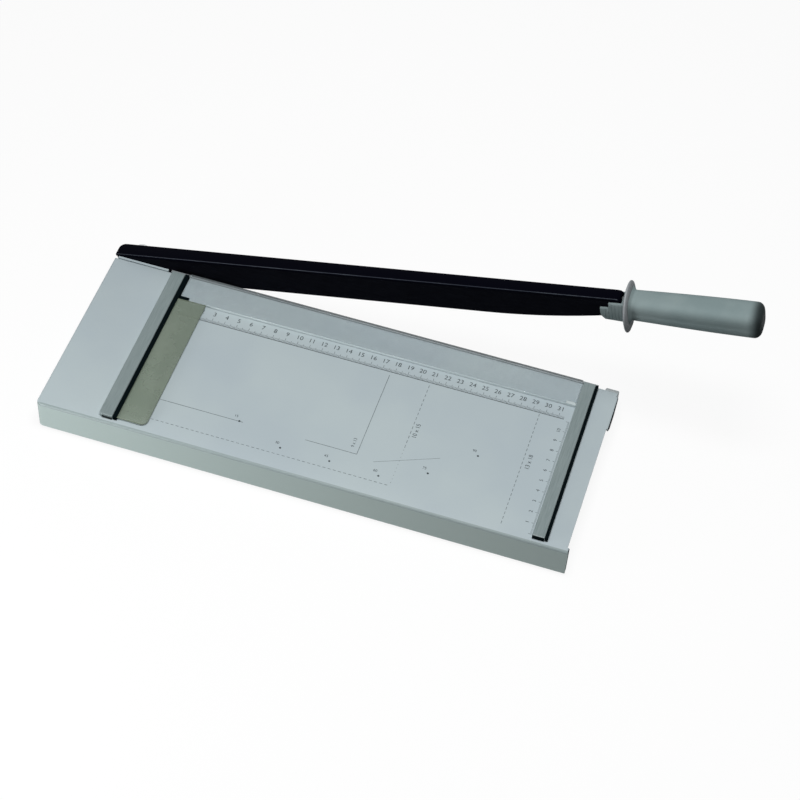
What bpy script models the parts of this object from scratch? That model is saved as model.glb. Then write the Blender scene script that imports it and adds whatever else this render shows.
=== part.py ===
"""Guillotine paper cutter with a long-edge blade, in metres, +Z up.

The table's own frame has X along the cut from the pivot end, Y from the front
edge to the cutting edge, and Z from the table's top face. The whole cutter is
then set on the floor with the middle of its outline over the world origin.
"""

import math

import bmesh
import bpy
from mathutils import Matrix, Vector

# Clearances that any two neighbours share
TOUCH_GAP = 0.0003
SHANK_GAP = 0.00015
OVERRUN = 0.004

# Table tray, one folded sheet
TABLE_WIDTH = 0.540
TABLE_DEPTH = 0.210
TABLE_HEIGHT = 0.034
SHEET = 0.0015
FOLD_RADIUS = 0.0020
CORNER_RADIUS = 0.0055
LIP_WIDTH = 0.018
TAB_PROUD = 0.0020
REAR_TAB_START = 0.158
REAR_TAB_LENGTH = 0.043
REAR_TAB_DEPTH = 0.024
FRONT_TAB_LENGTH = 0.006

# Feet
FOOT_HEIGHT = 0.0030
FOOT_RADIUS = 0.0070
FOOT_STEM_RADIUS = 0.0025
FOOT_BARB_RADIUS = 0.0034
FOOT_BARB_HEIGHT = 0.0025
FOOT_INSET_X = 0.024

# Cutting edge on the table
KNIFE_START = 0.062
KNIFE_END_INSET = 0.0205
KNIFE_THICKNESS = 0.0025
KNIFE_HEIGHT = 0.019
KNIFE_SCREW_COUNT = 5
KNIFE_SCREW_INSET = 0.024
RAIL_THICKNESS = 0.0040
RAIL_HEIGHT = 0.028
RAIL_LEG = 0.015
RAIL_INSET = 0.006

# Stop bars across the table
BAR_FRONT = 0.0055
BAR_HEIGHT = 0.0050
BAR_CORNER = 0.0030
BAR_EDGE = 0.0007
TRIM_EDGE = 0.0004
LEFT_BAR_START = 0.0648
LEFT_BAR_WIDTH = 0.0140
RIGHT_BAR_INSET = 0.0354
RIGHT_BAR_WIDTH = 0.0123
BAR_SCREW_INSET = 0.030
LEFT_INSERT_WIDTH = 0.0042
LEFT_INSERT_WALL = 0.0012
RIGHT_INSERT_WIDTH = 0.0028
INSERT_HEIGHT = 0.0046

# Tinted side plate that holds the paper's edge down
SIDE_PLATE_WIDTH = 0.0300
SIDE_PLATE_THICKNESS = 0.0018
SIDE_PLATE_CORNER = 0.0060

# Clear guard in front of the blade
GUARD_DEPTH = 0.0346
GUARD_THICKNESS = 0.0030
GUARD_LIFT = 0.0006
GUARD_BACK_GAP = 0.0018
GUARD_END_GAP = 0.0010
LUG_LENGTH = 0.0095
LUG_DEPTH = 0.0032
PIN_RADIUS = 0.0010
PIN_LENGTH = 0.0058

# Pivot
PIVOT_X = 0.018
PIVOT_DROP = 0.014
PIVOT_PLATE_START = 0.003
PIVOT_PLATE_END = 0.0585
PIVOT_PLATE_HEIGHT = 0.028
PIVOT_SCREW_SPREAD = 0.0135
BOLT_RADIUS = 0.0040
BOLT_HEAD_WIDTH = 0.0130
BOLT_HEAD_HEIGHT = 0.0053
BUSH_WALL = 0.0018
BUSH_RUNNING_GAP = 0.00015
WASHER_RADIUS = 0.0095
WASHER_THICKNESS = 0.0016
DISC_SPRING_THICKNESS = 0.0009
DISC_SPRING_RISE = 0.0011
NUT_WIDTH = 0.0130
NUT_HEIGHT = 0.0065
NUT_COLLAR_HEIGHT = 0.0015
BOLT_TAIL = 0.0020

# Arm
ARM_REST_ANGLE = math.radians(13.74)
ARM_CLOSED_ANGLE = math.radians(1.0)
ARM_TOP = 0.0197
ARM_HEEL = 0.0145
ARM_PAST_TABLE = 0.0042
ARM_WIDTH = 0.0156
ARM_END_WIDTH = 0.0137
ARM_WALL = 0.0024
ARM_WEB = 0.0030
ARM_HUB = 0.0110
ARM_TOP_ROUND = 0.0055
ARM_HEEL_ROUND = 0.0065
BLADE_THICKNESS = 0.0030
BLADE_BELOW_PIVOT = 0.0145
BLADE_HEEL_INSET = 0.0010
BLADE_BEVEL = 0.0045
BELLY_LENGTH = 0.1402
BELLY_RADIUS = 0.680
WALL_ABOVE_EDGE = 0.0035
BLADE_SCREW_COUNT = 4
BLADE_SCREW_START = 0.090
BLADE_SCREW_TO_TANG = 0.0098
BLADE_SCREW_DEPTH = 0.0018
DRIVER_HOLE_RADIUS = 0.0040

# Handle
HANDLE_PAST_ARM = 0.0058
HANDLE_Z = 0.0077
HANDLE_DROOP = math.radians(2.4)
CHEEK_REACH = 0.0217
CHEEK_STEP_REACH = 0.0127
CHEEK_LOW_TOP = 0.0087
CHEEK_HIGH_TOP = 0.0153
CHEEK_CORNER = 0.0042
CHEEK_LEFT_BOTTOM = -0.0015
CHEEK_NEAR_BOTTOM = -0.0064
CHEEK_FAR_BOTTOM = -0.0088
CHEEK_WALL = 0.0026
CHEEK_EDGE = 0.0010
FLANGE_HALF_HEIGHT = 0.0278
FLANGE_HALF_DEPTH = 0.0232
FLANGE_THICKNESS = 0.0042
FLANGE_DROP = 0.0028
GRIP_LENGTH = 0.1300
GRIP_NECK_RADIUS = 0.0134
GRIP_END_RADIUS = 0.0158
GRIP_SQUARENESS = 2.6
GRIP_ROUND = 0.0070
GRIP_ROUND_STEPS = 4
GRIP_SWELL_SHARES = (0.18, 0.36, 0.54, 0.72, 0.88)
TANG_REACH = 0.0962
TANG_HEIGHT = 0.0115
TANG_ROD_RADIUS = 0.0040
TANG_SCREW_PITCH = 0.036
TANG_END_GAP = 0.0060
GRIP_NUT_WIDTH = 0.0130
GRIP_NUT_HEIGHT = 0.0055
PLUG_RADIUS = 0.0090
PLUG_THICKNESS = 0.0030

# Small screws
SCREW_RADIUS = 0.0020
SCREW_HEAD_RADIUS = 0.0038
SCREW_HEAD_HEIGHT = 0.0020
SCREW_DRIVE_RADIUS = 0.0016
SCREW_DRIVE_DEPTH = 0.0010
SCREW_TAIL = 0.0012

# Rubber buffer under the closed arm
BUFFER_LENGTH = 0.014
BUFFER_HEIGHT = 0.0118
BUFFER_DEPTH = 0.0135
BUFFER_CLEAR = 0.0004
BUFFER_EDGE = 0.0012

# Facets
ROUND_STEPS = 24
SMALL_STEPS = 16
GRIP_STEPS = 28
BELLY_STEPS = 10
SMOOTH_ANGLE = math.radians(32)

# Places that follow from the sizes above
armLength = TABLE_WIDTH - PIVOT_X + ARM_PAST_TABLE
bellyStart = armLength - BELLY_LENGTH
handleX = armLength + HANDLE_PAST_ARM
cheekStart = armLength - CHEEK_REACH
cheekStep = armLength - CHEEK_STEP_REACH
tangStart = armLength - TANG_REACH
bladeScrewReach = tangStart - BLADE_SCREW_TO_TANG - BLADE_SCREW_START
knifeEnd = TABLE_WIDTH - KNIFE_END_INSET
rightBarStart = TABLE_WIDTH - RIGHT_BAR_INSET
floorGap = FOOT_HEIGHT + TOUCH_GAP
tableTop = TABLE_HEIGHT + floorGap
trayBack = TABLE_DEPTH - KNIFE_THICKNESS - TOUCH_GAP
bladeFront = TABLE_DEPTH + TOUCH_GAP
railBack = trayBack - SHEET - TOUCH_GAP
railFront = railBack - RAIL_THICKNESS
barBack = trayBack - FOLD_RADIUS
leftInsertStart = LEFT_BAR_START + LEFT_BAR_WIDTH + TOUCH_GAP
leftInsertEnd = leftInsertStart + LEFT_INSERT_WIDTH
rightInsertStart = rightBarStart + RIGHT_BAR_WIDTH + TOUCH_GAP
guardBack = TABLE_DEPTH - GUARD_BACK_GAP
guardFront = guardBack - GUARD_DEPTH
guardAxisY = guardFront + LUG_DEPTH / 2
guardAxisZ = GUARD_LIFT + GUARD_THICKNESS / 2
guardStart = leftInsertEnd + GUARD_END_GAP
guardEnd = rightBarStart - GUARD_END_GAP
bushRadius = BOLT_RADIUS + BUSH_RUNNING_GAP + BUSH_WALL
cavityFront = BLADE_THICKNESS + TOUCH_GAP + ARM_WALL
cavityBack = ARM_END_WIDTH - ARM_WALL
bladeTop = ARM_TOP - ARM_WEB - TOUCH_GAP
railTop = -SHEET - TOUCH_GAP
studStart = armLength - handleX + TOUCH_GAP * 2


def clearScene():
    for item in list(bpy.data.objects):
        bpy.data.objects.remove(item, do_unlink=True)


def finish(name, colour, roughness, metallic, alpha=1.0):
    """A painted, moulded or bare metal finish."""
    made = bpy.data.materials.new(name)
    made.use_nodes = True
    shader = made.node_tree.nodes["Principled BSDF"]
    shader.inputs["Base Color"].default_value = (*colour, 1.0)
    shader.inputs["Roughness"].default_value = roughness
    shader.inputs["Metallic"].default_value = metallic
    shader.inputs["Alpha"].default_value = alpha
    return made


def place(name, mesh, parent, material=None, turn=None):
    """Link one finished bmesh as a named object under its parent."""
    bmesh.ops.recalc_face_normals(mesh, faces=mesh.faces)
    data = bpy.data.meshes.new(name)
    mesh.to_mesh(data)
    mesh.free()
    data.shade_smooth()
    data.set_sharp_from_angle(angle=SMOOTH_ANGLE)
    item = bpy.data.objects.new(name, data)
    bpy.context.scene.collection.objects.link(item)
    item.parent = parent
    if turn is not None:
        item.matrix_local = turn
    if material is not None:
        data.materials.append(material)
    return item


def empty(name, parent, matrix):
    item = bpy.data.objects.new(name, None)
    bpy.context.scene.collection.objects.link(item)
    item.parent = parent
    item.matrix_local = matrix
    return item


def asCutter(item):
    item.hide_render = True
    item.display_type = "WIRE"
    return item


def boolean(item, other, operation):
    step = item.modifiers.new(operation.lower() + "_" + other.name, "BOOLEAN")
    step.operation = operation
    step.solver = "EXACT"
    step.object = other


def bevel(item, width, segments):
    step = item.modifiers.new("edges", "BEVEL")
    step.width = width
    step.segments = segments
    step.limit_method = "ANGLE"
    step.angle_limit = SMOOTH_ANGLE


def addBox(mesh, low, high):
    middle = (Vector(low) + Vector(high)) / 2
    size = Vector(high) - Vector(low)
    move = Matrix.Translation(middle) @ Matrix.Diagonal((*size, 1.0))
    return bmesh.ops.create_cube(mesh, size=1.0, matrix=move)["verts"]


def towards(axis):
    """Rotation that turns a shape's own +Z to the named axis."""
    return {
        "X": Matrix.Rotation(math.pi / 2, 4, "Y"),
        "-X": Matrix.Rotation(-math.pi / 2, 4, "Y"),
        "Y": Matrix.Rotation(-math.pi / 2, 4, "X"),
        "-Y": Matrix.Rotation(math.pi / 2, 4, "X"),
        "Z": Matrix.Identity(4),
        "-Z": Matrix.Rotation(math.pi, 4, "X"),
    }[axis]


def addRod(mesh, start, axis, radius, length, steps=SMALL_STEPS):
    """A solid round bar from its start point along the named axis."""
    move = Matrix.Translation(start) @ towards(axis) @ Matrix.Translation((0, 0, length / 2))
    bmesh.ops.create_cone(mesh, cap_ends=True, segments=steps, radius1=radius,
                          radius2=radius, depth=length, matrix=move)


def addOutline(mesh, outline, low, high, plane, farOutline=None):
    """A solid whose outline lies in a plane, XZ or YZ or XY, between two levels."""
    def point(pair, level):
        first, second = pair
        return {"XZ": (first, level, second), "YZ": (level, first, second),
                "XY": (first, second, level)}[plane]

    near = [mesh.verts.new(point(pair, low)) for pair in outline]
    far = [mesh.verts.new(point(pair, high)) for pair in (farOutline or outline)]
    count = len(near)
    mesh.faces.new(near)
    mesh.faces.new(list(reversed(far)))
    for index in range(count):
        after = (index + 1) % count
        mesh.faces.new((near[after], near[index], far[index], far[after]))


def addTurned(mesh, profile, steps=ROUND_STEPS, closed=False):
    """Spin a profile of (radius, height) pairs about Z."""
    verts = [mesh.verts.new((radius, 0, height)) for radius, height in profile]
    pairs = list(zip(verts, verts[1:]))
    if closed:
        pairs.append((verts[-1], verts[0]))
    edges = [mesh.edges.new(pair) for pair in pairs]
    bmesh.ops.spin(mesh, geom=verts + edges, cent=(0, 0, 0), axis=(0, 0, 1), dvec=(0, 0, 0),
                   angle=2 * math.pi, steps=steps, use_merge=True, use_duplicate=False)
    bmesh.ops.remove_doubles(mesh, verts=mesh.verts, dist=TOUCH_GAP / 100)


def arc(centre, radius, start, stop, steps):
    """Points on an arc, angles in degrees."""
    points = []
    for index in range(steps + 1):
        angle = math.radians(start + (stop - start) * index / steps)
        points.append((centre[0] + radius * math.cos(angle), centre[1] + radius * math.sin(angle)))
    return points


def boxNode(name, low, high, parent, material, edge):
    mesh = bmesh.new()
    addBox(mesh, low, high)
    item = place(name, mesh, parent, material)
    bevel(item, edge, 2)
    return item


def screw(name, at, axis, grip, parent, material, style="pan"):
    """A screw whose head seats at the point and whose shank runs away from the axis."""
    drive = SCREW_DRIVE_RADIUS
    mesh = bmesh.new()
    if style == "flush":
        seat = SCREW_HEAD_RADIUS - SCREW_RADIUS
        profile = [(0, -SCREW_DRIVE_DEPTH), (drive, -SCREW_DRIVE_DEPTH), (drive, 0),
                   (SCREW_HEAD_RADIUS, 0), (SCREW_RADIUS, -seat)]
    else:
        crown = SCREW_HEAD_HEIGHT
        profile = [(0, crown - SCREW_DRIVE_DEPTH), (drive, crown - SCREW_DRIVE_DEPTH),
                   (drive, crown), (SCREW_HEAD_RADIUS - crown / 2, crown),
                   (SCREW_HEAD_RADIUS, crown / 2), (SCREW_HEAD_RADIUS, 0), (SCREW_RADIUS, 0)]
    profile += [(SCREW_RADIUS, -grip), (SCREW_RADIUS / 2, -grip - SCREW_TAIL / 2),
                (0, -grip - SCREW_TAIL / 2)]
    addTurned(mesh, profile, SMALL_STEPS)
    return place(name, mesh, parent, material, Matrix.Translation(at) @ towards(axis))


def addBore(mesh, at, axis, profile):
    """Add one turned bore to a cutter that may hold several."""
    part = bmesh.new()
    addTurned(part, profile, SMALL_STEPS)
    part.transform(Matrix.Translation(at) @ towards(axis))
    data = bpy.data.meshes.new("bore")
    part.to_mesh(data)
    part.free()
    mesh.from_mesh(data)
    bpy.data.meshes.remove(data)


def addFlushHole(mesh, at, axis, depth):
    """Clearance for a countersunk screw from its face inwards."""
    seat = SCREW_HEAD_RADIUS - SCREW_RADIUS
    wide = SCREW_HEAD_RADIUS + TOUCH_GAP
    narrow = SCREW_RADIUS + TOUCH_GAP
    addBore(mesh, at, axis, [(0, OVERRUN), (wide, OVERRUN), (wide, 0), (narrow, -seat),
                             (narrow, -depth), (0, -depth)])


def addStepHole(mesh, at, axis, wide, narrow, above, below):
    """A wide bore above the point and a narrow one below it, on one axis."""
    addBore(mesh, at, axis, [(0, above), (wide, above), (wide, 0), (narrow, 0),
                             (narrow, -below), (0, -below)])


def ring(name, inner, outer, low, high, parent, material, turn, rise=0.0):
    """A washer or bush; rise lifts its inner rim into a cone."""
    mesh = bmesh.new()
    addTurned(mesh, [(inner, low + rise), (outer, low), (outer, high), (inner, high + rise)],
              ROUND_STEPS, closed=True)
    return place(name, mesh, parent, material, turn)


def hexagon(width):
    corner = width / 2 / math.cos(math.pi / 6)
    return arc((0, 0), corner, 0, 300, 5)


def barScrewPlaces():
    leftMiddle = LEFT_BAR_START + LEFT_BAR_WIDTH / 2
    rightMiddle = rightBarStart + RIGHT_BAR_WIDTH / 2
    near = BAR_FRONT + BAR_SCREW_INSET
    far = railFront - RAIL_LEG - BAR_SCREW_INSET / 2
    return [(leftMiddle, near), (leftMiddle, far), (rightMiddle, near), (rightMiddle, far)]


def knifeScrewPlaces():
    first = KNIFE_START + KNIFE_SCREW_INSET
    step = (knifeEnd - KNIFE_SCREW_INSET - first) / (KNIFE_SCREW_COUNT - 1)
    return [(first + step * index, -KNIFE_HEIGHT / 2) for index in range(KNIFE_SCREW_COUNT)]


def pivotScrewPlaces():
    middle = PIVOT_X + BOLT_HEAD_WIDTH + PIVOT_SCREW_SPREAD / 2
    return [(middle, -PIVOT_DROP), (middle + PIVOT_SCREW_SPREAD, -PIVOT_DROP)]


def bufferPlace():
    """The buffer's low corner, worked out from the closed socket above it."""
    right = TABLE_WIDTH
    x = right - PIVOT_X
    share = (x - cheekStart - CHEEK_CORNER) / (handleX - cheekStart - CHEEK_CORNER)
    bottom = CHEEK_NEAR_BOTTOM + share * (CHEEK_FAR_BOTTOM - CHEEK_NEAR_BOTTOM)
    high = -PIVOT_DROP + x * math.sin(ARM_CLOSED_ANGLE) + bottom * math.cos(ARM_CLOSED_ANGLE)
    return right - BUFFER_LENGTH, high - BUFFER_CLEAR - BUFFER_HEIGHT


def footPlaces():
    near = LIP_WIDTH / 2
    far = trayBack - LIP_WIDTH / 2
    right = TABLE_WIDTH - FOOT_INSET_X
    return [("front_left", FOOT_INSET_X, near), ("front_right", right, near),
            ("rear_left", FOOT_INSET_X, far), ("rear_right", right, far)]


def makeTray(root, paint):
    mesh = bmesh.new()
    bottom = -TABLE_HEIGHT
    edgeX = TABLE_WIDTH + TAB_PROUD
    addBox(mesh, (0, 0, bottom), (edgeX, trayBack, 0))
    upright = [edge for edge in mesh.edges
               if abs(edge.verts[0].co.z - edge.verts[1].co.z) > SHEET]
    frontLeft = [edge for edge in upright
                 if edge.verts[0].co.x < SHEET and edge.verts[0].co.y < SHEET]
    bmesh.ops.bevel(mesh, geom=frontLeft, offset=CORNER_RADIUS, segments=5, profile=0.5,
                    affect="EDGES")
    rim = [edge for edge in mesh.edges
           if min(edge.verts[0].co.z, edge.verts[1].co.z) > -SHEET]
    bmesh.ops.bevel(mesh, geom=rim, offset=FOLD_RADIUS, segments=4, profile=0.5,
                    affect="EDGES")
    tray = place("table_tray", mesh, root, paint)

    hollow = bmesh.new()
    addBox(hollow, (SHEET, SHEET, bottom + SHEET), (edgeX - SHEET, trayBack - SHEET, -SHEET))
    boolean(tray, asCutter(place("tray_hollow", hollow, root)), "DIFFERENCE")

    opening = bmesh.new()
    addBox(opening, (LIP_WIDTH, LIP_WIDTH, bottom - OVERRUN),
           (edgeX + OVERRUN, trayBack - LIP_WIDTH, bottom + SHEET + TOUCH_GAP))
    boolean(tray, asCutter(place("tray_opening", opening, root)), "DIFFERENCE")

    relief = bmesh.new()
    tabEnd = REAR_TAB_START + REAR_TAB_LENGTH
    addBox(relief, (TABLE_WIDTH, FRONT_TAB_LENGTH, bottom - OVERRUN),
           (edgeX + OVERRUN, REAR_TAB_START, OVERRUN))
    addBox(relief, (TABLE_WIDTH, tabEnd, bottom - OVERRUN),
           (edgeX + OVERRUN, trayBack + OVERRUN, OVERRUN))
    boolean(tray, asCutter(place("tray_relief", relief, root)), "DIFFERENCE")

    window = bmesh.new()
    addBox(window, (TABLE_WIDTH - SHEET, REAR_TAB_START - OVERRUN, bottom - OVERRUN),
           (edgeX + OVERRUN, tabEnd + OVERRUN, -REAR_TAB_DEPTH))
    boolean(tray, asCutter(place("tray_tab_end", window, root)), "DIFFERENCE")

    holes = bmesh.new()
    for x, y in barScrewPlaces():
        addRod(holes, (x, y, -SHEET - OVERRUN), "Z", SCREW_RADIUS + TOUCH_GAP,
               SHEET + OVERRUN * 2)
    for x, z in knifeScrewPlaces() + pivotScrewPlaces():
        addRod(holes, (x, trayBack - SHEET - OVERRUN / 2, z), "Y", SCREW_RADIUS + TOUCH_GAP,
               SHEET + OVERRUN)
    addRod(holes, (PIVOT_X, trayBack - SHEET - OVERRUN / 2, -PIVOT_DROP), "Y",
           BOLT_RADIUS + TOUCH_GAP, SHEET + OVERRUN)
    left, low = bufferPlace()
    addRod(holes, (left + BUFFER_LENGTH / 2, trayBack - SHEET - OVERRUN / 2,
                   low + BUFFER_HEIGHT / 2), "Y", SCREW_RADIUS + TOUCH_GAP, SHEET + OVERRUN)
    for _, x, y in footPlaces():
        addRod(holes, (x, y, bottom - OVERRUN / 2), "Z", FOOT_STEM_RADIUS + TOUCH_GAP,
               SHEET + OVERRUN)
    boolean(tray, asCutter(place("tray_holes", holes, root)), "DIFFERENCE")


def makeFeet(root, rubber):
    sole = FOOT_HEIGHT
    shoulder = SHEET + TOUCH_GAP * 2
    for name, x, y in footPlaces():
        mesh = bmesh.new()
        addTurned(mesh, [(0, -sole), (FOOT_RADIUS - sole / 4, -sole),
                         (FOOT_RADIUS, -sole * 3 / 4), (FOOT_RADIUS, 0),
                         (FOOT_STEM_RADIUS, 0), (FOOT_STEM_RADIUS, shoulder),
                         (FOOT_BARB_RADIUS, shoulder),
                         (FOOT_STEM_RADIUS, shoulder + FOOT_BARB_HEIGHT),
                         (0, shoulder + FOOT_BARB_HEIGHT)], ROUND_STEPS)
        place("foot_" + name, mesh, root, rubber,
              Matrix.Translation((x, y, -TABLE_HEIGHT - TOUCH_GAP)))


def makeRail(root, steel):
    """Steel angle inside the tray that carries the knife and the pivot."""
    mesh = bmesh.new()
    outline = [(railBack, railTop), (railBack, railTop - RAIL_HEIGHT),
               (railFront, railTop - RAIL_HEIGHT), (railFront, railTop - RAIL_THICKNESS),
               (railBack - RAIL_LEG, railTop - RAIL_THICKNESS), (railBack - RAIL_LEG, railTop)]
    addOutline(mesh, outline, RAIL_INSET, TABLE_WIDTH - RAIL_INSET, "YZ")
    rail = place("knife_rail", mesh, root, steel)
    holes = bmesh.new()
    reach = RAIL_THICKNESS + OVERRUN * 2
    for x, z in knifeScrewPlaces() + pivotScrewPlaces():
        addRod(holes, (x, railFront - OVERRUN, z), "Y", SCREW_RADIUS + SHANK_GAP, reach)
    addRod(holes, (PIVOT_X, railFront - OVERRUN, -PIVOT_DROP), "Y",
           BOLT_RADIUS + TOUCH_GAP, reach)
    left, low = bufferPlace()
    addRod(holes, (left + BUFFER_LENGTH / 2, railFront - OVERRUN, low + BUFFER_HEIGHT / 2),
           "Y", SCREW_RADIUS + SHANK_GAP, reach)
    boolean(rail, asCutter(place("rail_holes", holes, root)), "DIFFERENCE")


def makeKnife(root, steel, screwSteel):
    """Fixed cutting edge along the table's back, with its flush screws."""
    front = trayBack + TOUCH_GAP
    mesh = bmesh.new()
    addBox(mesh, (KNIFE_START, front, -KNIFE_HEIGHT), (knifeEnd, TABLE_DEPTH, 0))
    knife = place("bed_knife", mesh, root, steel)
    holes = bmesh.new()
    for x, z in knifeScrewPlaces():
        addFlushHole(holes, (x, TABLE_DEPTH - SHANK_GAP, z), "Y", KNIFE_THICKNESS + OVERRUN)
    boolean(knife, asCutter(place("knife_holes", holes, root)), "DIFFERENCE")
    grip = TABLE_DEPTH - railFront
    for index, (x, z) in enumerate(knifeScrewPlaces()):
        screw("knife_screw_%d" % (index + 1), (x, TABLE_DEPTH - SHANK_GAP, z), "Y", grip,
              root, screwSteel, "flush")


def makePivot(root, steel, screwSteel, brass, arm):
    """Bearing plate, bolt, bush, washers and nut that hold the arm to the rail."""
    mesh = bmesh.new()
    addBox(mesh, (PIVOT_PLATE_START, trayBack + TOUCH_GAP, -PIVOT_PLATE_HEIGHT),
           (PIVOT_PLATE_END, TABLE_DEPTH, -TOUCH_GAP))
    plate = place("pivot_plate", mesh, root, steel)
    holes = bmesh.new()
    for x, z in pivotScrewPlaces():
        addFlushHole(holes, (x, TABLE_DEPTH - SHANK_GAP, z), "Y", KNIFE_THICKNESS + OVERRUN)
    addRod(holes, (PIVOT_X, trayBack - OVERRUN / 2, -PIVOT_DROP), "Y",
           BOLT_RADIUS + TOUCH_GAP, KNIFE_THICKNESS + OVERRUN)
    boolean(plate, asCutter(place("pivot_holes", holes, root)), "DIFFERENCE")
    grip = TABLE_DEPTH - railFront
    for index, (x, z) in enumerate(pivotScrewPlaces()):
        screw("pivot_screw_%d" % (index + 1), (x, TABLE_DEPTH - SHANK_GAP, z), "Y", grip,
              root, screwSteel, "flush")

    # The stack behind the arm, from its back face outwards
    atPivot = Matrix.Translation((PIVOT_X, 0, -PIVOT_DROP)) @ towards("Y")
    bore = BOLT_RADIUS + SHANK_GAP
    level = bladeFront + ARM_WIDTH + TOUCH_GAP
    ring("thrust_washer", bore, WASHER_RADIUS, level, level + WASHER_THICKNESS, root,
         brass, atPivot)
    level += WASHER_THICKNESS + TOUCH_GAP
    ring("disc_spring_1", bore, WASHER_RADIUS, level, level + DISC_SPRING_THICKNESS, root,
         steel, atPivot, rise=DISC_SPRING_RISE)
    level += DISC_SPRING_THICKNESS + DISC_SPRING_RISE + TOUCH_GAP
    ring("disc_spring_2", bore, WASHER_RADIUS, level + DISC_SPRING_RISE,
         level + DISC_SPRING_RISE + DISC_SPRING_THICKNESS, root, steel, atPivot,
         rise=-DISC_SPRING_RISE)
    level += DISC_SPRING_THICKNESS + DISC_SPRING_RISE + TOUCH_GAP

    nutMesh = bmesh.new()
    addOutline(nutMesh, hexagon(NUT_WIDTH), level, level + NUT_HEIGHT, "XY")
    nut = place("pivot_nut", nutMesh, root, steel, turn=atPivot)
    collar = bmesh.new()
    addRod(collar, (0, 0, level + NUT_HEIGHT - TOUCH_GAP), "Z", NUT_WIDTH / 2 - TOUCH_GAP * 2,
           NUT_COLLAR_HEIGHT + TOUCH_GAP, ROUND_STEPS)
    boolean(nut, asCutter(place("nut_collar", collar, root, turn=atPivot)), "UNION")
    nutBore = bmesh.new()
    addRod(nutBore, (0, 0, level - OVERRUN), "Z", bore,
           NUT_HEIGHT + NUT_COLLAR_HEIGHT + OVERRUN * 2, ROUND_STEPS)
    boolean(nut, asCutter(place("nut_bore", nutBore, root, turn=atPivot)), "DIFFERENCE")
    boltEnd = level + NUT_HEIGHT + NUT_COLLAR_HEIGHT + BOLT_TAIL
    boltMesh = bmesh.new()
    headBack = railFront - TOUCH_GAP
    addOutline(boltMesh, hexagon(BOLT_HEAD_WIDTH), headBack - BOLT_HEAD_HEIGHT, headBack, "XY")
    bolt = place("pivot_bolt", boltMesh, root, steel, atPivot)
    shank = bmesh.new()
    addRod(shank, (0, 0, headBack - TOUCH_GAP), "Z", BOLT_RADIUS,
           boltEnd - headBack + TOUCH_GAP, ROUND_STEPS)
    boolean(bolt, asCutter(place("bolt_shank", shank, root, turn=atPivot)), "UNION")

    ring("pivot_bush", BOLT_RADIUS + BUSH_RUNNING_GAP, bushRadius, TOUCH_GAP,
         ARM_WIDTH - TOUCH_GAP, arm, brass, towards("Y"))


def barOutline(start, width, roundLeft):
    """Plan of a bar whose outer front corner is rounded."""
    end = start + width
    if roundLeft:
        corner = arc((start + BAR_CORNER, BAR_FRONT + BAR_CORNER), BAR_CORNER, 180, 270, 5)
        return corner + [(end, BAR_FRONT), (end, barBack), (start, barBack)]
    return [(start, BAR_FRONT), (end, BAR_FRONT), (end, barBack), (start, barBack)]


def makeBars(root, barPaint, black, screwSteel):
    screws = barScrewPlaces()
    pinHole = PIN_RADIUS + TOUCH_GAP
    pinReach = PIN_LENGTH + TOUCH_GAP + GUARD_END_GAP
    for side, start, width, places in (
            ("left", LEFT_BAR_START, LEFT_BAR_WIDTH, screws[:2]),
            ("right", rightBarStart, RIGHT_BAR_WIDTH, screws[2:])):
        mesh = bmesh.new()
        addOutline(mesh, barOutline(start, width, side == "left"), TOUCH_GAP,
                   TOUCH_GAP + BAR_HEIGHT, "XY")
        bar = place(side + "_stop_bar", mesh, root, barPaint)
        bevel(bar, BAR_EDGE, 2)
        holes = bmesh.new()
        for x, y in places:
            addRod(holes, (x, y, -OVERRUN), "Z", SCREW_RADIUS + SHANK_GAP,
                   OVERRUN + BAR_HEIGHT * 3 / 4)
        if side == "left":
            addRod(holes, (guardStart, guardAxisY, guardAxisZ), "-X", pinHole,
                   pinReach + LEFT_INSERT_WIDTH)
        else:
            addRod(holes, (guardEnd, guardAxisY, guardAxisZ), "X", pinHole, pinReach)
        boolean(bar, asCutter(place(side + "_bar_holes", holes, root)), "DIFFERENCE")

    for index, (x, y) in enumerate(screws):
        screw("bar_screw_%d" % (index + 1), (x, y, -SHEET - TOUCH_GAP), "-Z",
              SHEET + BAR_HEIGHT / 2, root, screwSteel)

    # The left insert grips the side plate in a slot; the right one is plain
    low = TOUCH_GAP
    high = TOUCH_GAP + INSERT_HEIGHT
    slotLow = LEFT_INSERT_WALL + TOUCH_GAP
    slotHigh = slotLow + SIDE_PLATE_THICKNESS + TOUCH_GAP * 2
    wallEnd = leftInsertStart + LEFT_INSERT_WALL
    mesh = bmesh.new()
    outline = [(leftInsertStart, low), (leftInsertEnd, low), (leftInsertEnd, slotLow),
               (wallEnd, slotLow), (wallEnd, slotHigh), (leftInsertEnd, slotHigh),
               (leftInsertEnd, high), (leftInsertStart, high)]
    addOutline(mesh, outline, BAR_FRONT, barBack, "XZ")
    left = place("left_bar_insert", mesh, root, black)
    hole = bmesh.new()
    addRod(hole, (guardStart, guardAxisY, guardAxisZ), "-X", pinHole,
           pinReach + LEFT_INSERT_WIDTH)
    boolean(left, asCutter(place("insert_pin_hole", hole, root)), "DIFFERENCE")

    boxNode("right_bar_insert", (rightInsertStart, BAR_FRONT, low),
            (rightInsertStart + RIGHT_INSERT_WIDTH, barBack, high), root, black, TRIM_EDGE)


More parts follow.
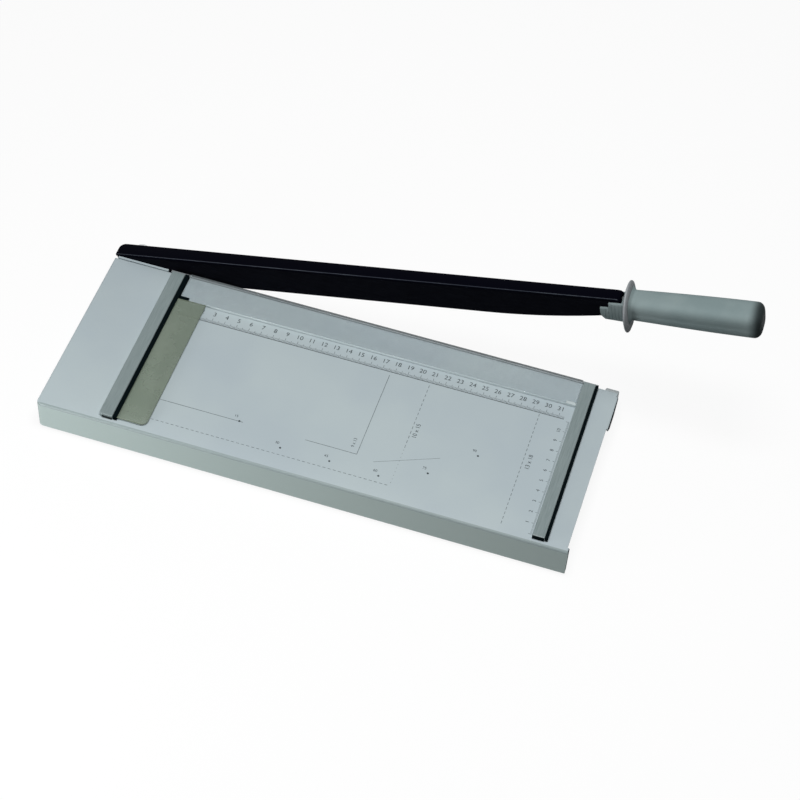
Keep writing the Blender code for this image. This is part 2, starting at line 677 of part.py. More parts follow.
def makeSidePlate(root, tinted):
    """Tinted clear plate that reaches from the left insert over the paper's edge."""
    start = leftInsertStart + LEFT_INSERT_WALL + TOUCH_GAP
    end = leftInsertEnd + SIDE_PLATE_WIDTH
    front = BAR_FRONT + SIDE_PLATE_THICKNESS
    back = guardFront - TOUCH_GAP * 2
    low = LEFT_INSERT_WALL + TOUCH_GAP * 2
    corner = SIDE_PLATE_CORNER
    outline = [(start, front)] + arc((end - corner, front + corner), corner, 270, 360, 6)
    outline += [(end, back), (start, back)]
    mesh = bmesh.new()
    addOutline(mesh, outline, low, low + SIDE_PLATE_THICKNESS, "XY")
    place("side_plate", mesh, root, tinted)


def makeGuard(hinge, clear, black):
    """Clear guard hinged at its front corners on two lugs with pins."""
    front = guardFront - guardAxisY
    back = guardBack - guardAxisY
    half = GUARD_THICKNESS / 2
    notchX = LUG_LENGTH + TOUCH_GAP
    notchY = front + LUG_DEPTH + TOUCH_GAP
    outline = [(guardStart + notchX, front), (guardEnd - notchX, front),
               (guardEnd - notchX, notchY), (guardEnd, notchY), (guardEnd, back),
               (guardStart, back), (guardStart, notchY), (guardStart + notchX, notchY)]
    mesh = bmesh.new()
    addOutline(mesh, outline, -half, half, "XY")
    place("guard_plate", mesh, hinge, clear)

    for side, start, axis, pinStart in (
            ("left", guardStart, "-X", guardStart + PIN_RADIUS),
            ("right", guardEnd - LUG_LENGTH, "X", guardEnd - PIN_RADIUS)):
        reach = PIN_LENGTH + GUARD_END_GAP + PIN_RADIUS
        if side == "left":
            reach += LEFT_INSERT_WIDTH
        block = bmesh.new()
        addBox(block, (start, front, -half), (start + LUG_LENGTH, front + LUG_DEPTH, half))
        lug = place("guard_lug_" + side, block, hinge, black)
        pin = bmesh.new()
        addRod(pin, (pinStart, 0, 0), axis, PIN_RADIUS, reach)
        boolean(lug, asCutter(place("lug_pin_" + side, pin, hinge)), "UNION")


def armBack(x):
    """Depth of the channel's rear face, which draws in towards the handle."""
    return ARM_WIDTH + (ARM_END_WIDTH - ARM_WIDTH) * x / armLength


def edgeHeight(x, lift=0.0):
    """Height of the blade's lower edge, with its rise towards the handle."""
    beyond = max(0.0, x - bellyStart)
    return -BLADE_BELOW_PIVOT + lift + beyond * beyond / (2 * BELLY_RADIUS)


def armOutline(heel, top, lift, right, topRound=0.0):
    """Side view of the blade or the channel, from its rounded heel to its right end."""
    depth = BLADE_BELOW_PIVOT - lift
    radius = depth - BLADE_HEEL_INSET
    points = arc((-heel + radius, -depth + radius), radius, 180, 270, 8)
    for index in range(BELLY_STEPS + 1):
        x = bellyStart + (right - bellyStart) * index / BELLY_STEPS
        points.append((x, edgeHeight(x, lift)))
    if topRound:
        points += arc((right - topRound, top - topRound), topRound, 0, 90, 5)
    else:
        points.append((right, top))
    points.append((-heel, top))
    return points


def makeArm(arm, black, bladeSteel, screwSteel):
    """Black channel with the blade on its front wall."""
    body = bmesh.new()
    outline = armOutline(ARM_HEEL, ARM_TOP, WALL_ABOVE_EDGE, armLength, ARM_TOP_ROUND)
    addOutline(body, outline, 0, ARM_WIDTH, "XZ")
    channel = place("arm_channel", body, arm, black)
    heelBox = bmesh.new()
    corner = ARM_HEEL_ROUND
    plan = [(armLength, -OVERRUN), (armLength, ARM_END_WIDTH)]
    plan += arc((corner - ARM_HEEL, ARM_WIDTH - corner), corner, 90, 180, 6)
    plan += [(-ARM_HEEL, -OVERRUN)]
    addOutline(heelBox, plan, -BLADE_BELOW_PIVOT - OVERRUN, ARM_TOP + OVERRUN, "XY")
    boolean(channel, asCutter(place("arm_plan", heelBox, arm)), "INTERSECT")

    recess = bmesh.new()
    deep = BLADE_BELOW_PIVOT + OVERRUN
    seat = BLADE_THICKNESS + TOUCH_GAP
    underWeb = ARM_TOP - ARM_WEB
    addBox(recess, (-ARM_HEEL - OVERRUN, -OVERRUN, -deep),
           (armLength + OVERRUN, seat, underWeb))
    boolean(channel, asCutter(place("blade_recess", recess, arm)), "DIFFERENCE")
    cavity = bmesh.new()
    addBox(cavity, (ARM_HUB, cavityFront, -deep),
           (armLength + OVERRUN, cavityBack, underWeb))
    boolean(channel, asCutter(place("arm_cavity", cavity, arm)), "DIFFERENCE")

    mesh = bmesh.new()
    heel = ARM_HEEL - BLADE_HEEL_INSET
    right = armLength - TOUCH_GAP
    addOutline(mesh, armOutline(heel, bladeTop, 0, right), 0, BLADE_THICKNESS, "XZ",
               armOutline(heel, bladeTop, BLADE_BEVEL, right))
    blade = place("upper_blade", mesh, arm, bladeSteel)

    # Bores shared by the channel and the blade
    middle = (cavityFront + cavityBack) / 2
    bladeHoles = bmesh.new()
    channelHoles = bmesh.new()
    pivotHole = bushRadius + TOUCH_GAP
    for holes in (bladeHoles, channelHoles):
        addRod(holes, (0, -OVERRUN, 0), "Y", pivotHole, ARM_WIDTH + OVERRUN * 2, ROUND_STEPS)
    for index in range(BLADE_SCREW_COUNT):
        x = BLADE_SCREW_START + bladeScrewReach * index / (BLADE_SCREW_COUNT - 1)
        bottom = BLADE_THICKNESS - BLADE_SCREW_DEPTH
        addRod(bladeHoles, (x, bottom, 0), "Y", SCREW_RADIUS + SHANK_GAP, ARM_WIDTH)
        addStepHole(channelHoles, (x, middle, 0), "Y", DRIVER_HOLE_RADIUS,
                    SCREW_RADIUS + SHANK_GAP, ARM_WIDTH, middle)
        grip = cavityFront - bottom - TOUCH_GAP - SCREW_TAIL / 2
        screw("blade_screw_%d" % (index + 1), (x, cavityFront + TOUCH_GAP, 0), "Y", grip,
              arm, screwSteel)
    for x, z in tangScrewPlaces():
        addRod(channelHoles, (x, 0, z), "Y", SCREW_RADIUS + SHANK_GAP, ARM_WIDTH + OVERRUN)
    boolean(blade, asCutter(place("blade_holes", bladeHoles, arm)), "DIFFERENCE")
    boolean(channel, asCutter(place("channel_holes", channelHoles, arm)), "DIFFERENCE")


def tangScrewPlaces():
    first = tangStart + TANG_SCREW_PITCH / 2
    return [(first, HANDLE_Z), (first + TANG_SCREW_PITCH, HANDLE_Z)]


def makeTang(arm, handle, steel, screwSteel):
    """Flat bar in the channel that runs on as a threaded rod through the grip."""
    low = cavityFront + TOUCH_GAP
    high = cavityBack - TOUCH_GAP
    half = TANG_HEIGHT / 2
    mesh = bmesh.new()
    addBox(mesh, (tangStart, low, HANDLE_Z - half), (handleX, high, HANDLE_Z + half))
    tang = place("handle_tang", mesh, arm, steel)
    stud = bmesh.new()
    addRod(stud, (studStart, 0, 0), "X", TANG_ROD_RADIUS,
           GRIP_LENGTH - TANG_END_GAP - studStart, ROUND_STEPS)
    boolean(tang, asCutter(place("tang_stud", stud, handle)), "UNION")
    holes = bmesh.new()
    for x, z in tangScrewPlaces():
        addRod(holes, (x, low - OVERRUN, z), "Y", SCREW_RADIUS + SHANK_GAP,
               high - low + OVERRUN * 2)
    boolean(tang, asCutter(place("tang_holes", holes, arm)), "DIFFERENCE")
    for index, (x, z) in enumerate(tangScrewPlaces()):
        seat = armBack(x) + TOUCH_GAP
        screw("tang_screw_%d" % (index + 1), (x, seat, z), "Y",
              seat - BLADE_THICKNESS - SCREW_TAIL, arm, screwSteel)


def makeSocket(arm, handle, plastic):
    """Stepped cheeks round the arm's end, moulded in one with the hand guard."""
    near = -CHEEK_WALL
    far = ARM_END_WIDTH + CHEEK_WALL + TOUCH_GAP
    outline = [(cheekStart, CHEEK_LEFT_BOTTOM), (cheekStart + CHEEK_CORNER, CHEEK_NEAR_BOTTOM),
               (handleX, CHEEK_FAR_BOTTOM), (handleX, CHEEK_HIGH_TOP),
               (cheekStep, CHEEK_HIGH_TOP), (cheekStep, CHEEK_LOW_TOP),
               (cheekStart, CHEEK_LOW_TOP)]
    mesh = bmesh.new()
    addOutline(mesh, outline, near, far, "XZ")
    socket = place("handle_socket", mesh, arm, plastic)
    bevel(socket, CHEEK_EDGE, 2)

    # Oval flange, turned round and then drawn in along the table's depth
    flange = bmesh.new()
    half = FLANGE_THICKNESS / 2
    rim = FLANGE_HALF_HEIGHT
    addTurned(flange, [(0, -half), (rim - half, -half), (rim, 0), (rim - half, half), (0, half)],
              ROUND_STEPS * 2)
    flange.transform(Matrix.Translation((0, 0, -FLANGE_DROP))
                     @ Matrix.Diagonal((1, FLANGE_HALF_DEPTH / FLANGE_HALF_HEIGHT, 1, 1))
                     @ towards("X"))
    boolean(socket, asCutter(place("hand_flange", flange, handle)), "UNION")

    slot = bmesh.new()
    gap = TOUCH_GAP
    start = cheekStart - OVERRUN
    end = armLength + gap
    clearance = [(start, edgeHeight(start) - gap), (end, edgeHeight(end) - gap),
                 (end, ARM_TOP + OVERRUN), (start, ARM_TOP + OVERRUN)]
    addOutline(slot, clearance, -gap, armBack(cheekStart) + gap, "XZ")
    boolean(socket, asCutter(place("socket_slot", slot, arm)), "DIFFERENCE")

    tangHole = bmesh.new()
    addBox(tangHole, (cheekStep, cavityFront, HANDLE_Z - TANG_HEIGHT / 2 - gap),
           (handleX + gap, cavityBack, HANDLE_Z + TANG_HEIGHT / 2 + gap))
    boolean(socket, asCutter(place("socket_tang_hole", tangHole, arm)), "DIFFERENCE")
    studHole = bmesh.new()
    addRod(studHole, (studStart - gap * 2, 0, 0), "X", TANG_ROD_RADIUS + gap,
           FLANGE_THICKNESS - studStart, ROUND_STEPS)
    boolean(socket, asCutter(place("socket_stud_hole", studHole, handle)), "DIFFERENCE")


def gripRing(x, radius):
    """One soft-square section of the grip."""
    points = []
    for index in range(GRIP_STEPS):
        angle = 2 * math.pi * index / GRIP_STEPS
        across = math.cos(angle)
        upward = math.sin(angle)
        size = abs(across) ** GRIP_SQUARENESS + abs(upward) ** GRIP_SQUARENESS
        reach = radius * size ** (-1 / GRIP_SQUARENESS)
        points.append((x, reach * across, reach * upward))
    return points


def gripSections():
    """Places and radii along the grip: a flared neck, a slow swell and a rounded end."""
    start = FLANGE_THICKNESS / 2 + TOUCH_GAP
    swell = GRIP_END_RADIUS - GRIP_NECK_RADIUS
    length = GRIP_LENGTH - start
    flare = GRIP_ROUND / 2
    sections = [(start, GRIP_NECK_RADIUS + flare),
                (start + flare / 4, GRIP_NECK_RADIUS + flare / 2),
                (start + flare, GRIP_NECK_RADIUS)]
    for share in GRIP_SWELL_SHARES:
        radius = GRIP_NECK_RADIUS + swell * math.sin(share * math.pi / 2)
        sections.append((start + length * share, radius))
    centre = (GRIP_LENGTH - GRIP_ROUND, GRIP_END_RADIUS - GRIP_ROUND)
    return sections + arc(centre, GRIP_ROUND, 90, 0, GRIP_ROUND_STEPS)


def makeGrip(handle, plastic, steel, plugPlastic):
    mesh = bmesh.new()
    rings = [[mesh.verts.new(point) for point in gripRing(x, radius)]
             for x, radius in gripSections()]
    for before, after in zip(rings, rings[1:]):
        for index in range(GRIP_STEPS):
            following = (index + 1) % GRIP_STEPS
            mesh.faces.new((before[index], before[following], after[following], after[index]))
    mesh.faces.new(rings[0])
    mesh.faces.new(list(reversed(rings[-1])))
    grip = place("handle_grip", mesh, handle, plastic)

    # Bore for the stud, pocket for its nut and mouth for the plug
    nutCorner = GRIP_NUT_WIDTH / 2 / math.cos(math.pi / 6)
    nutEnd = GRIP_LENGTH - TANG_END_GAP - TOUCH_GAP
    nutStart = nutEnd - GRIP_NUT_HEIGHT
    plugStart = GRIP_LENGTH - PLUG_THICKNESS
    mouth = PLUG_RADIUS + TOUCH_GAP
    bore = TANG_ROD_RADIUS + TOUCH_GAP
    pocket = nutCorner + TOUCH_GAP
    cut = bmesh.new()
    addTurned(cut, [(0, -OVERRUN), (bore, -OVERRUN), (bore, nutStart - TOUCH_GAP),
                    (pocket, nutStart - TOUCH_GAP), (pocket, plugStart - TOUCH_GAP),
                    (mouth, plugStart - TOUCH_GAP), (mouth, GRIP_LENGTH + OVERRUN),
                    (0, GRIP_LENGTH + OVERRUN)], ROUND_STEPS)
    cut.transform(towards("X"))
    boolean(grip, asCutter(place("grip_bore", cut, handle)), "DIFFERENCE")

    nutMesh = bmesh.new()
    addOutline(nutMesh, hexagon(GRIP_NUT_WIDTH), nutStart, nutEnd, "XY")
    nut = place("grip_nut", nutMesh, handle, steel, turn=towards("X"))
    nutBore = bmesh.new()
    addRod(nutBore, (nutStart - OVERRUN, 0, 0), "X", TANG_ROD_RADIUS + SHANK_GAP,
           GRIP_NUT_HEIGHT + OVERRUN * 2, ROUND_STEPS)
    boolean(nut, asCutter(place("grip_nut_bore", nutBore, handle)), "DIFFERENCE")

    plug = bmesh.new()
    crown = TOUCH_GAP * 2
    addTurned(plug, [(0, plugStart), (PLUG_RADIUS, plugStart), (PLUG_RADIUS, GRIP_LENGTH - crown),
                     (PLUG_RADIUS - crown, GRIP_LENGTH), (0, GRIP_LENGTH)], ROUND_STEPS)
    place("grip_plug", plug, handle, plugPlastic, towards("X"))


def makeBuffer(root, rubber, screwSteel):
    """Rubber block behind the tray that the closed handle socket comes down on."""
    left, low = bufferPlace()
    front = trayBack + TOUCH_GAP
    boltRoom = SCREW_HEAD_RADIUS + TOUCH_GAP * 2
    middleX = left + BUFFER_LENGTH / 2
    middleZ = low + BUFFER_HEIGHT / 2
    buffer = boxNode("arm_buffer", (left, front, low),
                     (left + BUFFER_LENGTH, front + BUFFER_DEPTH, low + BUFFER_HEIGHT),
                     root, rubber, BUFFER_EDGE)
    hole = bmesh.new()
    addStepHole(hole, (middleX, front + BUFFER_DEPTH / 2, middleZ), "Y", boltRoom,
                SCREW_RADIUS + TOUCH_GAP, BUFFER_DEPTH, BUFFER_DEPTH)
    boolean(buffer, asCutter(place("buffer_hole", hole, root)), "DIFFERENCE")
    seat = front + BUFFER_DEPTH / 2 + TOUCH_GAP
    screw("buffer_screw", (middleX, seat, middleZ), "Y", seat - railFront, root, screwSteel)


def main():
    clearScene()
    paint = finish("light_grey_paint", (0.46, 0.52, 0.55), 0.55, 0.0)
    barPaint = finish("bar_grey", (0.16, 0.20, 0.20), 0.50, 0.0)
    black = finish("black_plastic", (0.008, 0.010, 0.012), 0.45, 0.0)
    armBlack = finish("black_enamel", (0.006, 0.007, 0.014), 0.30, 0.0)
    steel = finish("zinc_steel", (0.55, 0.56, 0.57), 0.35, 1.0)
    bladeSteel = finish("blackened_blade", (0.010, 0.010, 0.014), 0.35, 0.3)
    knifeSteel = finish("ground_steel", (0.42, 0.43, 0.44), 0.30, 1.0)
    brass = finish("brass", (0.60, 0.44, 0.18), 0.35, 1.0)
    rubber = finish("rubber", (0.02, 0.02, 0.02), 0.85, 0.0)
    clear = finish("clear_acrylic", (0.80, 0.88, 0.88), 0.05, 0.0, alpha=0.3)
    tinted = finish("tinted_acrylic", (0.20, 0.26, 0.18), 0.10, 0.0, alpha=0.6)
    plastic = finish("grip_grey", (0.18, 0.23, 0.23), 0.45, 0.0)
    socketPlastic = finish("socket_grey", (0.30, 0.33, 0.34), 0.40, 0.0)

    armFrame = (Matrix.Translation((PIVOT_X, bladeFront, -PIVOT_DROP))
                @ Matrix.Rotation(-ARM_REST_ANGLE, 4, "Y"))
    handleFrame = (Matrix.Translation((handleX, ARM_END_WIDTH / 2, HANDLE_Z))
                   @ Matrix.Rotation(HANDLE_DROOP, 4, "Y"))
    guardFrame = Matrix.Translation((0, guardAxisY, guardAxisZ))
    reach = armFrame @ handleFrame @ Vector((GRIP_LENGTH, 0, -GRIP_END_RADIUS / 2))
    backReach = bladeFront + ARM_END_WIDTH / 2 + FLANGE_HALF_DEPTH

    root = empty("cutter", None, Matrix.Translation((-reach.x / 2, -backReach / 2, tableTop)))
    arm = empty("arm_pivot_axis", root, armFrame)
    handle = empty("handle_axis", arm, handleFrame)
    guardHinge = empty("guard_hinge_axis", root, guardFrame)

    makeTray(root, paint)
    makeFeet(root, rubber)
    makeRail(root, steel)
    makeKnife(root, knifeSteel, steel)
    makeBars(root, barPaint, black, steel)
    makeSidePlate(root, tinted)
    makeGuard(guardHinge, clear, black)
    makePivot(root, steel, steel, brass, arm)
    makeArm(arm, armBlack, bladeSteel, steel)
    makeTang(arm, handle, steel, steel)
    makeSocket(arm, handle, socketPlastic)
    makeGrip(handle, plastic, steel, black)
    makeBuffer(root, rubber, steel)

    bpy.context.view_layer.update()
    print("pivot", [round(value, 6) for value in arm.matrix_world.translation])
    print("guard hinge", [round(value, 6) for value in guardHinge.matrix_world.translation])


main()
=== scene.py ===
import math

import bmesh
import bpy
from mathutils import Matrix, Vector


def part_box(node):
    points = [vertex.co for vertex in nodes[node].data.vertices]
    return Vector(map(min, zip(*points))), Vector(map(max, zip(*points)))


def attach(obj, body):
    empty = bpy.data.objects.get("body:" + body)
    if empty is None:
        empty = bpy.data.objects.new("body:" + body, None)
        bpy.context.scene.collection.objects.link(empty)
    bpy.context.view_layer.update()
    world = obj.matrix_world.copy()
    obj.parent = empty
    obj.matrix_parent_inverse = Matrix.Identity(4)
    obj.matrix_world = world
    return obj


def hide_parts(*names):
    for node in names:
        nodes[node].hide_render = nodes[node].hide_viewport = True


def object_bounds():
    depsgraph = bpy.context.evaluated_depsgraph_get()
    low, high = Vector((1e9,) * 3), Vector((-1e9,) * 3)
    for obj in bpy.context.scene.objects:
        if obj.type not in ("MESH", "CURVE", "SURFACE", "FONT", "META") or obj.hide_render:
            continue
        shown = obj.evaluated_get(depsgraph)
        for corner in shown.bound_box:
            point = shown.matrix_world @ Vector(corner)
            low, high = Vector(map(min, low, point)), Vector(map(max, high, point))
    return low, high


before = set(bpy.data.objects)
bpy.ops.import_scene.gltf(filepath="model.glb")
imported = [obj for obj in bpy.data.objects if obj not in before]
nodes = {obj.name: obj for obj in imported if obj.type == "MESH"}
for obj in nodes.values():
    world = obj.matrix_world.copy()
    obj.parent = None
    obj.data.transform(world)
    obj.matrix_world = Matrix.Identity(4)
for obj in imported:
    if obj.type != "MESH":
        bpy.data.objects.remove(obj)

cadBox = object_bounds()

# The table's own corner: front left of its top face, everything is placed from here
trayLow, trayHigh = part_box("table_tray")
tableCorner = Vector((trayLow.x, trayLow.y, trayHigh.z))

armPlace = {
    "pivot": (0.018, 0.2103, -0.014),  # from the table's corner
    "angle": 13.74,                    # how far the arm is raised, in degrees
    "top": 0.0197,                     # its top face above the pivot
    "endDepth": 0.0137,                # its depth where the handle starts
}
handlePlace = {"along": 0.532, "up": 0.0077, "droop": 2.4}

armFrame = (Matrix.Translation(tableCorner + Vector(armPlace["pivot"]))
            @ Matrix.Rotation(-math.radians(armPlace["angle"]), 4, "Y"))
handleFrame = (armFrame
               @ Matrix.Translation((handlePlace["along"], armPlace["endDepth"] / 2,
                                     handlePlace["up"]))
               @ Matrix.Rotation(math.radians(handlePlace["droop"]), 4, "Y"))
tableFrame = Matrix.Translation(tableCorner)
hair = 0.000001  # closer than this is the same place


def connect(tree, slot, value):
    if isinstance(value, Wire):
        tree.links.new(value.socket, slot)
    elif hasattr(slot.default_value, "__len__") and hasattr(value, "__len__"):
        size = len(slot.default_value)
        slot.default_value = (*value, 1.0)[:size] if len(value) < size else value
    else:
        slot.default_value = value


class Wire:
    # one output of a node, so that shader maths reads as a sum
    def __init__(self, tree, socket):
        self.tree = tree
        self.socket = socket

    def maths(self, operation, *terms):
        node = self.tree.nodes.new("ShaderNodeMath")
        node.operation = operation
        for slot, term in zip(node.inputs, terms):
            connect(self.tree, slot, term)
        return Wire(self.tree, node.outputs[0])

    def __add__(self, other):
        return self.maths("ADD", self, other)

    def __radd__(self, other):
        return self.maths("ADD", other, self)

    def __sub__(self, other):
        return self.maths("SUBTRACT", self, other)

    def __rsub__(self, other):
        return self.maths("SUBTRACT", other, self)

    def __mul__(self, other):
        return self.maths("MULTIPLY", self, other)

    def __rmul__(self, other):
        return self.maths("MULTIPLY", other, self)

    def __gt__(self, other):
        return self.maths("GREATER_THAN", self, other)

    def size(self):
        return self.maths("ABSOLUTE", self)

    def most(self, other):
        return self.maths("MAXIMUM", self, other)


class Nodes:
    # one node tree; every node but the maths comes from its one method
    def __init__(self, tree):
        self.tree = tree

    def node(self, kind, settings=None, sockets=None, output=0):
        made = self.tree.nodes.new(kind)
        for name, value in (settings or {}).items():
            setattr(made, name, value)
        for name, value in (sockets or {}).items():
            connect(self.tree, made.inputs[name], value)
        return Wire(self.tree, made.outputs[output])


class Finish(Nodes):
    # a material in the making; fixed holds the shader's own plain values
    def __init__(self, name, fixed):
        self.material = bpy.data.materials.new(name)
        self.material.use_nodes = True
        super().__init__(self.material.node_tree)
        self.shader = self.tree.nodes["Principled BSDF"]
        for socket, value in fixed.items():
            connect(self.tree, self.shader.inputs[socket], value)

    def feed(self, socket, value):
        connect(self.tree, self.shader.inputs[socket], value)

    def place(self, shift=(0, 0, 0), stretch=(1, 1, 1), turn=(0, 0, 0)):
        # point on the piece, in metres, from its own origin
        raw = self.node("ShaderNodeTexCoord", output=3)
        return self.node("ShaderNodeMapping", {"vector_type": "POINT"},
                         {"Vector": raw, "Location": shift, "Rotation": turn,
                          "Scale": stretch})

    def axes(self, vector):
        return [self.node("ShaderNodeSeparateXYZ", None, {0: vector}, output=index)
                for index in range(3)]

    def noise(self, where, scale, detail=2.0, roughness=0.5):
        return self.node("ShaderNodeTexNoise", None,
                         {"Vector": where, "Scale": scale, "Detail": detail,
                          "Roughness": roughness})

    def ramp(self, value, low, high):
        return self.node("ShaderNodeMapRange", {"interpolation_type": "SMOOTHSTEP"},
                         {0: value, 1: low, 2: high, 3: 0.0, 4: 1.0})

    def blend(self, factor, first, second):
        return self.node("ShaderNodeMix", {"data_type": "RGBA"},
                         {0: factor, 6: first, 7: second}, output=2)

    def bump(self, height, depth, strength=1.0):
        self.feed("Normal", self.node("ShaderNodeBump", None,
                                      {"Height": height, "Distance": depth,
                                       "Strength": strength}))


paintLook = {
    "colour": (0.442, 0.512, 0.530),
    "cool": (0.408, 0.476, 0.508),
    "speck": (0.62, 0.66, 0.68),
    "scuff": (0.34, 0.38, 0.39),
    # colour of the painted shade below the top face
    "skirtShade": (0.420, 0.512, 0.492),
    "skirtFrom": 0.0008,  # below the table's face
    "skirtFull": 0.0040,
    # colour of the painted shade along the front fold
    "foldShade": (0.205, 0.258, 0.252),
    "foldAt": 0.0011,
    "foldHalf": 0.0011,
    "foldDepth": 0.0026,
    "roughness": 0.48,
    "grain": 1900.0,
    "depth": 0.00005,
}


def powderPaint():
    # light grey powder paint: fine orange peel and a slow drift of tone, with painted shade as a
    # darker line by the fold and as a darker, greener copy of the colour below the top face
    look = paintLook
    made = Finish("powderPaint", {"Specular IOR Level": 0.35})
    where = made.place(shift=-tableCorner)
    x, y, z = made.axes(where)
    drift = made.ramp(made.noise(where, 7.0, 3.0), 0.35, 0.65)
    speck = made.ramp(made.noise(where, look["grain"], 1.0), 0.62, 0.78)
    tone = made.blend(drift, look["colour"], look["cool"])
    tone = made.blend(speck * 0.10, tone, look["speck"])
    # painted shade: below the top face the paint turns to a darker, greener copy of itself
    skirtShade = made.ramp(0 - z, look["skirtFrom"], look["skirtFull"])
    tone = made.blend(skirtShade * 0.9, tone, look["skirtShade"])
    # painted shade: a darker line along the front fold, over the shallow groove that the bump gives
    line = 1 - made.ramp((y - look["foldAt"]).size(), look["foldHalf"] * 0.7,
                         look["foldHalf"] * 1.5)
    fold = line * (z > -look["foldDepth"])
    tone = made.blend(fold * 0.75, tone, look["foldShade"])
    scuff = made.ramp(made.noise(made.place(stretch=(1, 9, 1)), 60.0, 6.0, 0.7), 0.66, 0.80)
    made.feed("Base Color", made.blend(scuff * 0.12, tone, look["scuff"]))
    made.feed("Roughness", made.noise(where, 40.0, 4.0) * 0.16 + (look["roughness"] - 0.08))
    made.bump(made.noise(where, look["grain"], 2.0) - fold * 1.5, look["depth"], 0.5)
    return made.material


barLook = {
    "colour": (0.168, 0.214, 0.216),
    "light": (0.235, 0.285, 0.288),
    "fleck": (0.11, 0.14, 0.145),
    "roughness": 0.42,
    "brush": (1, 0.02, 1),
    "depth": 0.00004,
}


def barPaint():
    # satin grey stop bars with a faint drawn grain along their length
    look = barLook
    made = Finish("barPaint", {"Specular IOR Level": 0.4})
    where = made.place(stretch=look["brush"])
    streak = made.noise(where, 2600.0, 3.0, 0.6)
    fleck = made.noise(made.place(), 1500.0, 2.0)
    tone = made.blend(made.ramp(streak, 0.3, 0.7), look["colour"], look["light"])
    dark = made.ramp(fleck, 0.62, 0.75)
    made.feed("Base Color", made.blend(dark * 0.3, tone, look["fleck"]))
    made.feed("Roughness", streak * 0.18 + (look["roughness"] - 0.09))
    made.bump(streak + fleck * 0.5, look["depth"], 0.4)
    return made.material


stripLook = {"colour": (0.0020, 0.0048, 0.0058), "dust": (0.008, 0.013, 0.014),
             "roughness": 0.55, "depth": 0.00004}


def blackStrip():
    # matt black strip with fine dust caught in its grain
    look = stripLook
    made = Finish("blackStrip", {"Specular IOR Level": 0.01})
    where = made.place()
    dust = made.ramp(made.noise(where, 900.0, 5.0, 0.7), 0.58, 0.85)
    made.feed("Base Color", made.blend(dust * 0.6, look["colour"], look["dust"]))
    made.feed("Roughness", dust * 0.2 + look["roughness"])
    made.bump(made.noise(where, 2400.0, 2.0), look["depth"], 0.5)
    return made.material


enamelLook = {
    "colour": (0.0010, 0.0011, 0.0032),
    "grey": (0.0030, 0.0034, 0.0072),
    "roughness": 0.30,
    "peel": 420.0,
    "depth": 0.00010,
}


def armEnamel():
    # black enamel with a blue cast, soft orange peel and fine hairline rubs
    look = enamelLook
    made = Finish("armEnamel", {"Specular IOR Level": 0.008})
    where = made.place()
    rubAndSheen = made.ramp(made.noise(made.place(stretch=(0.04, 1, 1)), 900.0, 4.0, 0.7), 0.60, 0.80)
    cloud = made.noise(where, 22.0, 3.0)
    made.feed("Base Color", made.blend(rubAndSheen * 0.35 + cloud * 0.25, look["colour"], look["grey"]))
    made.feed("Roughness", cloud * 0.14 + rubAndSheen * 0.10 + (look["roughness"] - 0.06))
    made.bump(made.noise(where, look["peel"], 2.0), look["depth"], 0.35)
    return made.material


# grey of the painted highlight along the arm's front top edge
edgeLook = {"colour": (0.016, 0.020, 0.030), "bare": (0.060, 0.070, 0.084), "roughness": 0.34}


def wornEdge():
    # painted highlight: a lighter grey, slightly metallic line along the arm's front top edge,
    # broken up by a rub pattern
    look = edgeLook
    made = Finish("wornEdge", {"Specular IOR Level": 0.12})
    rubAndSheen = made.ramp(made.noise(made.place(stretch=(0.25, 1, 1)), 160.0, 6.0, 0.7), 0.42, 0.66)
    made.feed("Base Color", made.blend(rubAndSheen * 0.5, look["colour"], look["bare"]))
    made.feed("Roughness", rubAndSheen * 0.12 + look["roughness"])
    made.feed("Metallic", rubAndSheen * 0.25)
    return made.material


steelLook = {
    "blackened": {"colour": (0.0012, 0.0013, 0.0026), "light": (0.0040, 0.0044, 0.0066),
                  "metallic": 0.0, "roughness": 0.36, "specular": 0.008},
    "ground": {"colour": (0.300, 0.325, 0.335), "light": (0.380, 0.405, 0.415),
               "metallic": 0.35, "roughness": 0.36, "specular": 0.3},
    "honed": {"colour": (0.480, 0.500, 0.510), "light": (0.640, 0.655, 0.665),
              "metallic": 1.0, "roughness": 0.22, "specular": 0.5},
    "zinc": {"colour": (0.520, 0.540, 0.550), "light": (0.680, 0.690, 0.690),
             "metallic": 0.9, "roughness": 0.34, "specular": 0.5},
    "brass": {"colour": (0.560, 0.400, 0.160), "light": (0.680, 0.520, 0.250),
              "metallic": 1.0, "roughness": 0.32, "specular": 0.5},
}


stainShade = 0.62  # how much of its colour the metal keeps under a stain
grainDepth = 0.00003


def metal(kind, brush=(0.03, 1, 1)):
    # cut, plated or blackened metal; the brush says which way its grain is drawn
    look = steelLook[kind]
    made = Finish(kind + "Metal", {"Specular IOR Level": look["specular"]})
    grain = made.noise(made.place(stretch=brush), 1800.0, 4.0, 0.65)
    stain = made.ramp(made.noise(made.place(), 45.0, 5.0, 0.6), 0.45, 0.75)
    tone = made.blend(made.ramp(grain, 0.3, 0.7), look["colour"], look["light"])
    dull = tuple(part * stainShade for part in look["colour"])
    made.feed("Base Color", made.blend(stain * 0.4, tone, dull))
    made.feed("Metallic", look["metallic"] - stain * 0.1)
    made.feed("Roughness", grain * 0.16 + stain * 0.12 + (look["roughness"] - 0.08))
    made.bump(grain, grainDepth, 0.4)
    return made.material


rubberLook = {"colour": (0.012, 0.013, 0.014), "bloom": (0.040, 0.041, 0.042),
              "roughness": 0.78, "depth": 0.00008}


def softRubber():
    # black rubber with a pale bloom
    look = rubberLook
    made = Finish("softRubber", {"Specular IOR Level": 0.3})
    where = made.place()
    bloom = made.ramp(made.noise(where, 120.0, 5.0, 0.7), 0.45, 0.8)
    made.feed("Base Color", made.blend(bloom * 0.7, look["colour"], look["bloom"]))
    made.feed("Roughness", bloom * 0.12 + look["roughness"])
    made.bump(made.noise(where, 1600.0, 3.0), look["depth"], 0.6)
    return made.material


